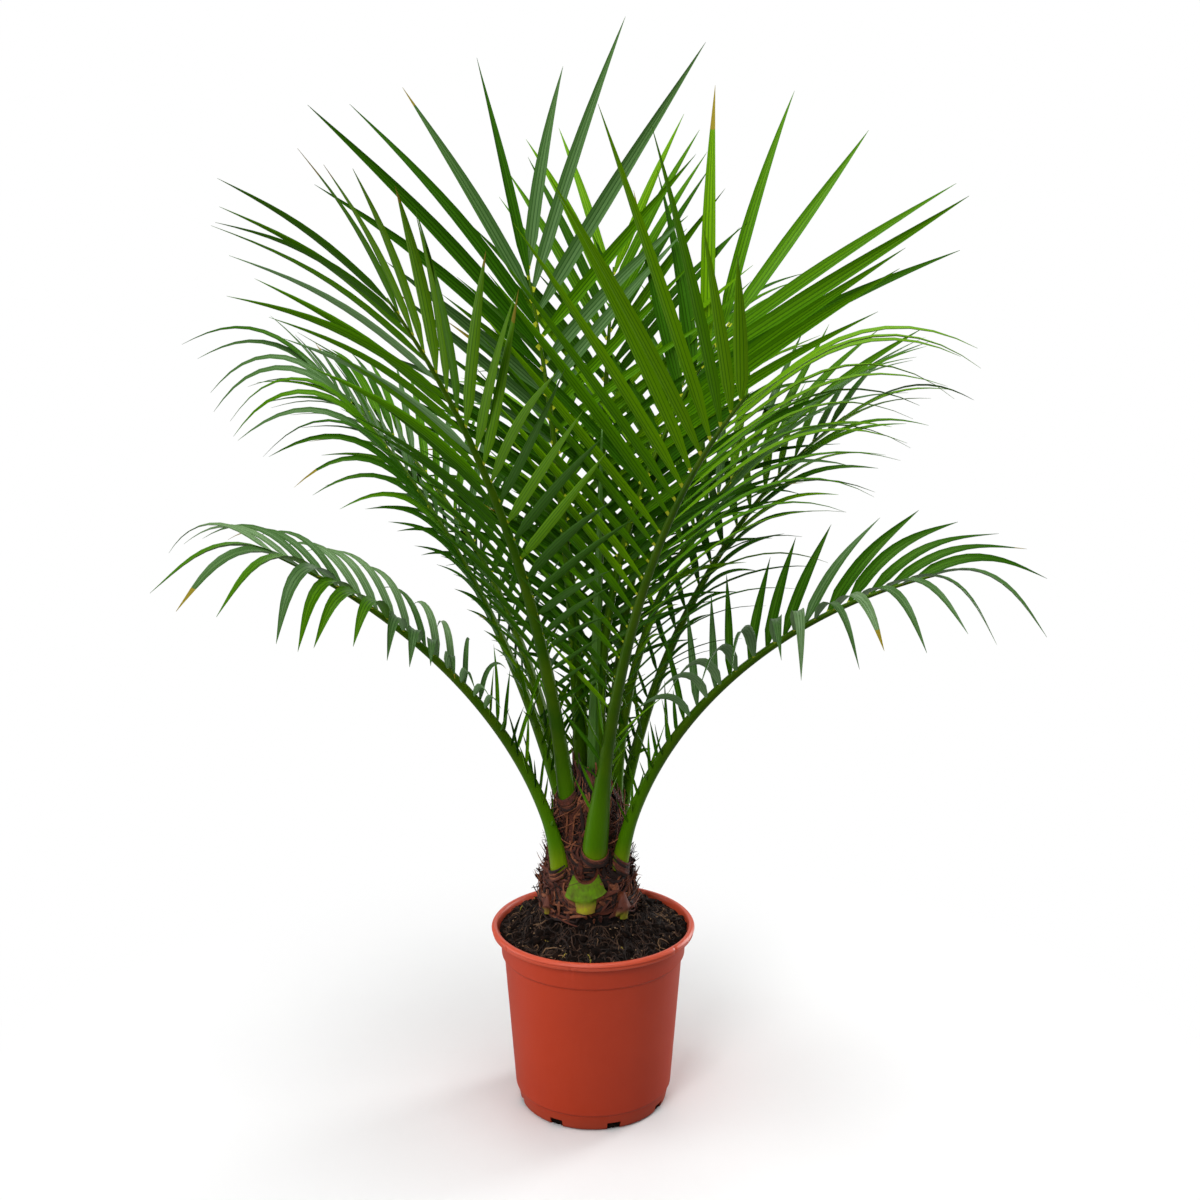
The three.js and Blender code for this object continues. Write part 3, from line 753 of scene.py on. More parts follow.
for index in range(CLODS):
    x, y, z = soil_spot()
    size = chance.choice(CLOD_SIZES) * chance.uniform(0.7, 1.3) * MM
    axes = (size, size * chance.uniform(0.6, 1), size * chance.uniform(0.45, 0.8))
    clod = lump((x, y, z + size * 0.1), axes, chance, fine=size > FINE_FROM * MM)
    soil_heap.add(*clod, index % 2)
print("clods:", CLODS)

# %% Soil in the drain slots
PLUG = {"radius": 82.5, "height": 3.8, "side_steps": (-5, 0, 5), "size": (3.4, 3.4, 3.0)}
for index in range(SLOTS["count"]):
    azimuth = SLOTS["first"] + index * 360 / SLOTS["count"]
    for side_step in PLUG["side_steps"]:
        middle = around(azimuth, PLUG["radius"] * MM, PLUG["height"] * MM)
        middle += around(azimuth + 90, side_step * MM, 0)
        size = np.array(PLUG["size"]) * MM
        soil_heap.add(*lump(middle, size, chance, fine=True, rugged=0.15))
print("slots filled:", SLOTS["count"])

# %% Soil finishes
peat = Finish("peat", 0.95)
peat.shader.inputs["Specular IOR Level"].default_value = 0.12
peat.feed("Base Color", peat.mottled(colour(12, 8, 6), colour(34, 21, 15), 160.0, 0.12))
peat.relief(peat.grained(900.0), 0.9, 0.0012)
crumb = Finish("peat_crumb", 0.95)
crumb.shader.inputs["Specular IOR Level"].default_value = 0.12
crumb.feed("Base Color", crumb.mottled(colour(38, 24, 17), colour(14, 9, 7), 260.0, 0.1))
crumb.relief(crumb.grained(1300.0), 0.8, 0.0008)
new_piece("soil_ground", soil_heap, [peat.material, crumb.material], ["soil"], sharp=60)

# %% Rootlets and chips
ROOTLETS, CHIPS, SHREDS = 1150, 210, 12
THREAD_TAPER = np.array([0.5, 0.85, 1, 1, 0.95, 0.85, 0.7, 0.35])
THREAD_LIMIT = 108  # mm from the axis, where a thread turns back


def soil_thread(length, radius, curl, lift):
    """A thin curved tube lying on the soil."""
    x, y, _ = soil_spot()
    heading, bend = chance.uniform(0, math.tau), chance.uniform(-curl, curl)
    steps = len(THREAD_TAPER)
    path = []
    for step in range(steps):
        share = step / (steps - 1)
        z = soil_height(x, y) + (0.4 * MM + lift * math.sin(math.pi * share))
        path.append((x, y, z))
        heading += bend / steps + chance.uniform(-0.35, 0.35)
        reach = length / steps
        x, y = x + reach * math.cos(heading), y + reach * math.sin(heading)
        if math.hypot(x, y) > THREAD_LIMIT * MM:
            heading += math.pi
            x = path[-1][0] + reach * math.cos(heading)
            y = path[-1][1] + reach * math.sin(heading)
    return tube(path, radius * THREAD_TAPER, 4)


litter = Heap()
for index in range(ROOTLETS):
    long = chance.uniform(8, 38) * MM
    thick = chance.choice((0.3, 0.4, 0.55, 0.8)) * MM
    tone = chance.choices((0, 1, 2), (7, 4, 0.8))[0]
    litter.add(*soil_thread(long, thick, 4.6, chance.uniform(0, 3.2) * MM), tone)
for index in range(CHIPS):
    x, y, z = soil_spot()
    size = chance.uniform(0.7, 1.9) * MM
    axes = (size, size * 0.55, size * 0.35)
    litter.add(*lump((x, y, z + 0.9 * MM), axes, chance), 3)
for index in range(SHREDS):
    litter.add(*soil_thread(chance.uniform(7, 15) * MM, 0.55 * MM, 2.0, 2.5 * MM), 4)


def thread_finish(name, base, patch, roughness=0.85):
    finish = Finish(name, roughness)
    finish.feed("Base Color", finish.mottled(colour(*base), colour(*patch), 90.0))
    finish.relief(finish.grained(1400.0), 0.35, 0.0003)
    return finish.material


LITTER_FINISHES = [
    thread_finish("rootlet_dark", (46, 30, 22), (30, 20, 15)),
    thread_finish("rootlet_brown", (84, 58, 42), (60, 40, 29)),
    thread_finish("rootlet_tan", (150, 116, 82), (118, 86, 60)),
    thread_finish("pale_chip", (182, 150, 112), (140, 104, 72)),
    thread_finish("moss_shred", (196, 172, 62), (160, 150, 46)),
]
new_piece("soil_litter", litter, LITTER_FINISHES)

# %% [markdown]
# ## Trunk and fibre
#
# A young palm has hardly any trunk: a short cone of old leaf bases, bound in the brown net that
# each leaf leaves behind. The cone itself gets a coarse relief. Under every stalk, papery scales
# lie in nested bows like the layers of an onion. Narrow strips wrap round and climb between the
# stalks, and loose hairs stray from the bundle on all sides.

# %% The trunk's outline
GROUND = 236.3
TRUNK_X = -6 * MM
TRUNK_PROFILE = [(0, 54), (22, 56), (54, 50), (82, 46), (116, 41), (139, 36), (156, 27), (168, 16)]
TRUNK_UPS = [GROUND + up for up, _ in TRUNK_PROFILE]
TRUNK_RADII = [radius for _, radius in TRUNK_PROFILE]


def trunk_radius(height):
    """The trunk's radius in metres at a height in metres."""
    return np.interp(np.asarray(height) / MM, TRUNK_UPS, TRUNK_RADII) * MM


def around_trunk(azimuth, radius, height):
    """A point at an azimuth and radius from the trunk's own axis."""
    return around(azimuth, radius, height) + (TRUNK_X, 0, 0)


# %% Trunk core
CORE_COLUMNS, CORE_ROWS = 120, 84
CORE_SINK = 3.4  # mm, how deep the core lies below the trunk's outline
CORE_LUMPS, CORE_FIBRES = 2.4, 1.6
CORE_TOP_RADIUS = 8
core_heap = Heap()
rows = []
for row in range(CORE_ROWS + 1):
    height = lerp(GROUND - 8, TRUNK_UPS[-1], row / CORE_ROWS) * MM
    ring = []
    for column in range(CORE_COLUMNS):
        azimuth = column * 360 / CORE_COLUMNS
        base = trunk_radius(height) - CORE_SINK * MM
        spot = around(azimuth, base, height)
        swirl = around(azimuth + 14 * math.sin(height * 130 + azimuth / 25), base, height)
        fibres = rough((swirl[0] * 3, swirl[1] * 3, height * 0.7), 95, 3, 5.0)
        relief = CORE_LUMPS * MM * rough(spot, 60, 3, 1.0) + CORE_FIBRES * MM * fibres
        ring.append(around_trunk(azimuth, base + relief, height))
    rows.append(ring)
core_top = (TRUNK_UPS[-1] + 3) * MM
rows.append([around_trunk(column * 360 / CORE_COLUMNS, CORE_TOP_RADIUS * MM, core_top)
             for column in range(CORE_COLUMNS)])
core_heap.add(np.array(rows).reshape(-1, 3), ring_faces(len(rows), CORE_COLUMNS))

# The core's near-black colour is partly the trunk's own dark brown and partly painted shade for the
# gaps between the fibre strips.
bark_and_gap_shade = Finish("fibre_bark", 0.92)
bark_and_gap_shade.feed("Base Color", bark_and_gap_shade.mottled(colour(36, 18, 12), colour(16, 9, 7), 130.0, 0.12))
bark_and_gap_shade.relief(bark_and_gap_shade.grained(520.0, (1, 1, 0.22)), 0.9, 0.0016)
new_piece("trunk_core", core_heap, [bark_and_gap_shade.material], ["trunk"])

# %% Curled strips of fibre
chance = random.Random(23)
STRIP_COLUMNS = np.array([-1, -0.5, 0, 0.5, 1.0])
STRIP_RELIEF = np.array([0.0, 0.22, 0.06, 0.22, 0.0])
STRIP_STEPS = 13
STRIP_THICK = 0.7
BOW_TURN = 118  # degrees from the lowest point of a bow to each of its ends
BOW_DEPTH = 0.82  # how deep a bow hangs, as a part of its reach


def fibre_tone(*weights):
    """The number of a fibre finish: dark, red or tan, drawn with these weights."""
    return chance.choices((0, 1, 2), weights)[0]


def trunk_path(azimuths, heights, lifts):
    """A path over the trunk, and the outward direction at each of its places."""
    angles = np.radians(azimuths)
    radius = trunk_radius(heights) + lifts
    path = np.stack([TRUNK_X + radius * np.cos(angles), radius * np.sin(angles), heights], axis=1)
    return path, np.stack([np.cos(angles), np.sin(angles), np.full(len(angles), 0.25)], axis=1)


def wrap_path(azimuth, height, span, climb, sag, lift_start, lift_end, steps):
    """A path round the trunk from one lifted end to the other, bowed down by sag."""
    share = np.linspace(0, 1, steps)
    z = height + climb * (share - 0.5) - sag * (1 - (2 * share - 1) ** 2)
    lift = lift_start * (1 - share) ** 3 + lift_end * share**3
    return trunk_path(azimuth + span * (share - 0.5), z, lift)


def bow_path(azimuth, height, reach, tilt, lift, flare):
    """A bow under a stalk: reach is its radius, and flare lifts its two raised ends."""
    turn = np.radians(np.linspace(-BOW_TURN, BOW_TURN, STRIP_STEPS) + tilt)
    z = height - reach * np.cos(turn) * BOW_DEPTH
    sideways = np.degrees(reach * np.sin(turn) / trunk_radius(z))
    ends = np.abs(np.linspace(-1, 1, STRIP_STEPS)) ** 3
    return trunk_path(azimuth + sideways, z, lift + flare * ends)


def fibre_strip(path, outward, width, slim=0.25):
    """A flat strip along a path over the trunk, slimmer at its ends."""
    along = unit(np.gradient(path, axis=0))
    across = unit(np.cross(unit(outward), along))
    facing = np.cross(along, across)
    share = np.linspace(0, 1, len(path))
    half = width / 2 * (slim + (1 - slim) * np.sin(math.pi * np.clip(share, 0.04, 0.96)) ** 0.7)
    return ribbon(path, across, facing, half, STRIP_COLUMNS, STRIP_RELIEF,
                  np.full(len(path), STRIP_THICK * MM))


print("steps in a strip:", STRIP_STEPS)

# %% Bows under the stalks
# Azimuth and height of what each set of bows cradles, and the reach of its first and last bow.
CRADLES = [
    (-90, 324, 15, 31), (226, 296, 12, 30), (-46, 302, 11, 28), (234, 378, 11, 24),
    (192, 368, 8, 18), (-92, 280, 23, 36), (-15, 330, 10, 24), (5, 350, 9, 20), (62, 344, 11, 26),
    (100, 318, 12, 28), (30, 330, 11, 26), (148, 330, 11, 26), (170, 282, 12, 28),
    (128, 276, 12, 28), (85, 280, 12, 28), (15, 280, 12, 28), (48, 276, 12, 28),
    (-122, 330, 9, 18), (-60, 350, 9, 22), (-112, 376, 8, 16), (205, 268, 8, 24), (-30, 268, 8, 24),
]
BOWS = 9
strips = Heap()
for azimuth, height, first, last in CRADLES:
    for index in range(BOWS):
        share = index / (BOWS - 1)
        reach = lerp(first, last, share) * chance.uniform(0.93, 1.07) * MM
        spot = azimuth + chance.gauss(0, 3), (height + chance.gauss(0, 2)) * MM
        lift = lerp(2.4, -0.6, share) * MM + chance.uniform(-0.3, 0.9) * MM
        tilt, flare = chance.gauss(0, 16), chance.choice((0.5, 1.5, 3.5)) * MM
        path, outward = bow_path(*spot, reach, tilt, lift, flare)
        width = chance.uniform(2.6, 6.0) * MM
        strips.add(*fibre_strip(path, outward, width), fibre_tone(3, 5, 2))
print("bows:", len(CRADLES) * BOWS)

# %% Strips that wrap and climb
WRAPS, CLIMBERS, PAPERS = 110, 270, 130
for index in range(WRAPS):
    height = lerp(238, 300, (index + chance.random()) / WRAPS) * MM
    path, outward = wrap_path(
        chance.uniform(0, 360), height, chance.uniform(22, 70), chance.uniform(-18, 18) * MM,
        chance.uniform(-3, 10) * MM, chance.choice((0.6, 2.0, 5.0)) * MM,
        chance.choice((0.6, 2.0, 6.0)) * MM, STRIP_STEPS)
    width = chance.uniform(1.6, 5.0) * MM
    strips.add(*fibre_strip(path, outward, width), fibre_tone(4, 4, 2))
for index in range(CLIMBERS):
    start = chance.triangular(262, 398, 372) * MM
    long = chance.uniform(18, 52) * MM
    share = np.linspace(0, 1, STRIP_STEPS)
    azimuths = chance.uniform(0, 360) + chance.gauss(0, 22) * share**1.5
    peel = chance.choice((0.8, 2.0, 5.0, 9.0)) * MM * share**2.5
    lift = chance.uniform(-0.5, 1.5) * MM + peel
    path, outward = trunk_path(azimuths, start + long * share, lift)
    width = chance.uniform(1.8, 6.5) * MM
    strips.add(*fibre_strip(path, outward, width, 0.12), fibre_tone(4, 5, 2))
for index in range(PAPERS):
    start = chance.uniform(238, 284) * MM
    long = chance.uniform(12, 34) * MM
    share = np.linspace(0, 1, STRIP_STEPS)
    azimuths = chance.uniform(0, 360) + chance.gauss(0, 16) * share**1.3
    peel = chance.choice((1.5, 3.0, 5.5, 9.0)) * MM * share**1.6
    heights = start + long * share * (1 - 0.35 * share)
    path, outward = trunk_path(azimuths, heights, 1.0 * MM + peel)
    width = chance.uniform(2.5, 8.0) * MM
    strips.add(*fibre_strip(path, outward, width, 0.1), fibre_tone(3, 5, 3))


def fibre_finish(name, base, patch):
    finish = Finish(name, 0.82)
    finish.feed("Base Color", finish.mottled(colour(*base), colour(*patch), 140.0))
    finish.relief(finish.grained(1100.0, (1, 1, 0.6)), 0.6, 0.0006)
    return finish.material


FIBRE_FINISHES = [
    fibre_finish("fibre_dark", (50, 24, 16), (28, 14, 10)),
    fibre_finish("fibre_red", (108, 52, 33), (68, 32, 22)),
    fibre_finish("fibre_tan", (154, 90, 56), (112, 62, 38)),
]
print("strips:", WRAPS + CLIMBERS + PAPERS)

# %% Loose hairs
HAIRS, STRAYS, CURLS = 760, 130, 46
HAIR_TAPER = np.array([0.8, 1, 1, 1, 0.95, 0.9, 0.8, 0.6, 0.25])
HAIR_STEPS = len(HAIR_TAPER)
hairs = Heap()
for index in range(HAIRS):
    height = chance.triangular(240, 402, 340) * MM
    stray = chance.choice((1.0, 2.0, 4.0, 9.0)) * chance.uniform(0.6, 1.3) * MM
    path, _ = wrap_path(chance.uniform(0, 360), height, chance.uniform(8, 70),
                        chance.uniform(-22, 26) * MM, chance.uniform(-6, 10) * MM,
                        0.8 * MM, stray, HAIR_STEPS)
    path += np.array([[chance.uniform(-0.5, 0.5) * MM for _ in range(3)]
                      for _ in range(HAIR_STEPS)])
    thick = chance.uniform(0.22, 0.5) * MM
    hairs.add(*tube(path, thick * HAIR_TAPER, 4), fibre_tone(3, 4, 2))
for index in range(STRAYS):
    height = chance.triangular(240, 380, 262) * MM
    share = np.linspace(0, 1, HAIR_STEPS)
    curl = chance.gauss(0, 20)
    rise_by = chance.uniform(4, 26) * MM
    path, _ = trunk_path(chance.uniform(0, 360) + curl * share**1.4, height + rise_by * share,
                         chance.uniform(5, 15) * MM * share**1.2)
    path += np.array([[chance.uniform(-0.7, 0.7) * MM * step for _ in range(3)] for step in share])
    thick = chance.uniform(0.3, 0.7) * MM
    hairs.add(*tube(path, thick * HAIR_TAPER, 4), fibre_tone(5, 4, 2))
print("hairs:", HAIRS + STRAYS)

# %% [markdown]
# Right of the front stalk a tuft of hairs has curled up. A few long strings, torn from the net,
# span from stalk to stalk.

# %% Curls and strings
TUFT = {"azimuth": -52, "height": 358}
STRING_THICK = 0.55
STRINGS = [  # azimuth and height of the start and of the end, then how far the middle bulges
    ((196, 362), (-108, 384), 9), ((200, 348), (-104, 376), 10), ((204, 338), (-112, 356), 7),
    ((222, 340), (-98, 330), 6), ((-60, 352), (-30, 366), 8), ((-70, 330), (-28, 344), 7),
    ((110, 340), (60, 362), 8), ((40, 350), (-8, 366), 8), ((150, 330), (112, 356), 8),
]
share = np.linspace(0, 1, HAIR_STEPS)
for index in range(CURLS):
    turn = chance.uniform(1.5, 4.5) * share + chance.uniform(0, math.tau)
    azimuths = chance.gauss(TUFT["azimuth"], 7) + 9 * np.cos(turn)
    heights = (chance.gauss(TUFT["height"], 8) + 8 * np.sin(turn)) * MM
    path, _ = trunk_path(azimuths, heights, chance.uniform(1, 9) * MM * share + 1 * MM)
    hairs.add(*tube(path, chance.uniform(0.35, 0.7) * MM * HAIR_TAPER, 4), index % 2)

for (azimuth, height), (far_azimuth, far_height), bulge in STRINGS:
    span = (far_azimuth - azimuth + 180) % 360 - 180
    path, _ = trunk_path(azimuth + span * share, lerp(height, far_height, share) * MM,
                         bulge * MM * (0.4 + np.sin(math.pi * share)))
    hairs.add(*tube(path, STRING_THICK * MM, 5), 2)
new_piece("fibre_hairs", hairs, FIBRE_FINISHES)

# %% [markdown]
# ## Fronds: where the ribs run
#
# Each frond hangs on one curve. Its slope falls from nearly upright at the trunk to its lowest
# at the tip, and a power law says how late the bend comes. Sampling that curve gives a place and
# three directions at every share of the length: along the rib, sideways, and up out of the
# frond. Everything on the frond is then placed in those directions.

# %% Front and side fronds
# Millimetres and degrees. The two rows of leaflets stand on the side of rising azimuth, then on
# the other. A row's values are plain numbers or (share of the row, value) points: the leaflets'
# length and width, their forward angle from the rib, their lift out of the frond's plane, and
# their droop. hang says between which shares of a leaflet the droop comes, and front how far its
# face is turned to the front. leaves says where on the rib the row starts, foot where the stalk
# comes out of the fibre, flare how wide it is there, and sheath how soon that is over. Up to
# the share named shade, most leaflets are of the deep tone.
# The deep tone in that inner share is painted shade, for the dark inside of the crown.
FRONDS = {
    "left_low": dict(
        azimuth=188, start_azimuth=224, start=(51, 295), length=557, rise=87.5, fall=22.6,
        bend=0.66, sway=0, base=17, flare=0.72, leaves=0.38, end=0.92, spacing=22, shade=0,
        tones=("teal", "mid", "teal"), nodes=("blade_inner", "blade_outer"), rows=(
            dict(length=((0, 60), (0.2, 80), (0.35, 96), (0.7, 168), (0.85, 190), (1, 150)),
                 width=((0, 6), (0.3, 12), (0.55, 16), (0.8, 20), (1, 13)),
                 forward=((0, 60), (0.4, 54), (0.8, 44), (1, 26)),
                 lift=((0, 50), (0.4, 40), (1, 6)),
                 droop=((0, 60), (0.3, 96), (0.7, 92), (1, 60)), hang=(0.05, 0.85)),
            dict(length=((0, 70), (0.25, 105), (0.5, 135), (0.8, 150), (1, 140)),
                 width=((0, 6), (0.3, 9), (0.7, 10), (1, 10)),
                 forward=((0, 50), (0.3, 40), (0.6, 32), (1, 16)),
                 lift=((0, 76), (0.6, 54), (1, 28)),
                 droop=((0, 110), (0.3, 100), (0.5, 72), (1, 84)), hang=(0.15, 1.05),
                 # these leaflets carry the painted sheen of the silver tone
                 tones=("silver_sheen", "silver_sheen", "teal")),
        )),
    "right_low": dict(
        azimuth=-12, start_azimuth=-48, start=(45, 302), length=537, rise=84, fall=13, bend=0.794,
        sway=5, base=17, flare=0.62, leaves=0.34, end=0.96, spacing=26, shade=0,
        tones=("deep", "deep", "teal"), nodes=("blade_inner", "blade_outer"), rows=(
            dict(length=((0, 118), (0.3, 112), (0.5, 150), (0.75, 175), (1, 145)),
                 width=((0, 8), (0.3, 10), (0.6, 14), (1, 12)),
                 forward=((0, 52), (0.4, 46), (0.7, 34), (1, 14)),
                 lift=((0, 74), (0.5, 64), (1, 44)),
                 droop=((0, 6), (0.5, 14), (0.75, 40), (1, 60)), hang=(0, 0.9)),
            dict(length=((0, 80), (0.25, 120), (0.55, 150), (1, 175)),
                 width=((0, 7), (0.3, 13), (1, 14)),
                 forward=((0, 64), (0.4, 60), (0.7, 60), (1, 40)),
                 lift=((0, 72), (0.35, 64), (0.6, 36), (1, 10)),
                 droop=((0, 90), (0.3, 130), (0.5, 112), (0.7, 90), (1, 66)), hang=(0, 0.9),
                 # these leaflets carry the painted sheen of the silver tone
                 tones=("silver_sheen", "teal", "teal")),
        )),
    "left_front": dict(
        azimuth=228, start=(33, 300), length=714, rise=84, fall=50, bend=1.25, sway=-8, base=19,
        foot=0.112, flare=0.55, leaves=0.3, end=0.97, spacing=22.5,
        tones=("bright", "mid", "bright"), nodes=("blade",), rows=(
            dict(length=((0, 90), (0.25, 225), (0.5, 300), (0.75, 285), (1, 220)),
                 width=((0, 5), (0.2, 8.5), (0.45, 11.5), (0.7, 14.5), (1, 13)),
                 forward=((0, 60), (0.25, 56), (0.5, 50), (0.75, 34), (1, 16)), lift=-4,
                 droop=((0, 3), (0.5, 6), (0.75, 10), (1, 22)), hang=(0, 1)),
            dict(length=((0, 80), (0.25, 190), (0.5, 235), (0.8, 250), (1, 190)),
                 width=((0, 5), (0.25, 8), (0.6, 10.5), (1, 10)),
                 forward=((0, 34), (0.25, 30), (0.75, 30), (1, 18)), lift=-22,
                 droop=((0, 12), (0.5, 20), (1, 24)), hang=(0.1, 1), tones=("teal", "mid", "deep")),
        )),
    "right_front": dict(
        azimuth=-66, start_azimuth=-92, start=(38, 285), length=700, rise=78, fall=33, bend=1.6,
        sway=8, base=17, foot=0.046, flare=0.86, sheath=0.2, leaves=0.3, end=0.94, spacing=21.5,
        shade=0.32, tones=("bright", "bright", "mid"), nodes=("blade",), rows=(
            dict(length=((0, 150), (0.25, 245), (0.5, 275), (0.75, 262), (1, 235)),
                 width=((0, 6), (0.25, 8), (0.6, 9.5), (1, 10.5)),
                 forward=((0, 54), (0.5, 52), (0.75, 46), (1, 34)), lift=12,
                 droop=((0, 45), (0.25, 56), (0.75, 70), (1, 66)), hang=(0.2, 1.15), front=0.7),
            dict(length=((0, 95), (0.25, 215), (0.5, 275), (0.7, 305), (0.88, 325), (0.93, 190),
                         (1, 140)),
                 width=((0, 5), (0.2, 8.5), (0.5, 10.5), (0.75, 13.5), (1, 12.5)),
                 forward=((0, 56), (0.5, 60), (0.7, 54), (0.85, 44), (1, 30)), lift=50, droop=3,
                 hang=(0, 1), tones=("bright", "bright", "mid")),
        )),
    "left_outer": dict(
        azimuth=165, start=(24, 310), length=640, rise=76, fall=41, bend=1.2, sway=-8, base=15,
        flare=0.6, leaves=0.3, spacing=21, tones=("mid", "teal", "deep"), nodes=("blade",), rows=(
            dict(length=((0, 36), (0.25, 80), (0.5, 185), (0.75, 220), (1, 190)),
                 width=((0, 4), (0.25, 6.5), (0.6, 10), (1, 9)),
                 forward=((0, 26), (0.25, 26), (0.5, 30), (0.75, 24), (1, 8)), lift=10,
                 droop=((0, 20), (0.25, 40), (0.5, 84), (0.75, 94), (1, 56)), hang=(0.15, 1),
                 front=0.6),
            dict(length=((0, 70), (0.25, 140), (0.75, 150), (1, 130)),
                 width=((0, 4.5), (0.25, 7.5), (0.6, 10), (1, 9)),
                 forward=((0, 58), (0.25, 54), (0.5, 50), (0.75, 40), (1, 20)), lift=-8, droop=9,
                 hang=(0, 1), tones=("deep", "teal")),
        )),
    "right_mid": dict(
        azimuth=8, start=(29, 320), length=580, rise=92, fall=25, bend=1.3, sway=27, base=14,
        leaves=0.3, spacing=25, tones=("mid", "bright", "teal"), nodes=("blade",), rows=(
            dict(length=((0, 80), (0.25, 170), (0.5, 230), (1, 260)),
                 width=((0, 5), (0.25, 8), (0.6, 11), (1, 11)),
                 forward=((0, 58), (0.25, 57), (0.5, 50), (0.75, 26), (1, 2)),
                 lift=((0, 30), (0.6, 20), (1, 4)), droop=10, hang=(0, 1), front=0.5),
            dict(length=((0, 40), (0.25, 110), (0.45, 235), (1, 250)),
                 width=((0, 4.5), (0.25, 7), (0.6, 9.5), (1, 9.5)),
                 forward=((0, 40), (0.5, 42), (0.75, 20), (1, -8)), lift=16,
                 droop=((0, 30), (0.5, 56), (0.75, 40), (0.9, 14), (1, 8)), hang=(0.2, 1.1),
                 front=0.5),
        )),
}
print("fronds at the front and sides:", len(FRONDS))

# %% [markdown]
# Behind these stand three tall fronds, which give the plant its height, and four lower ones that
# fill the crown's far side.

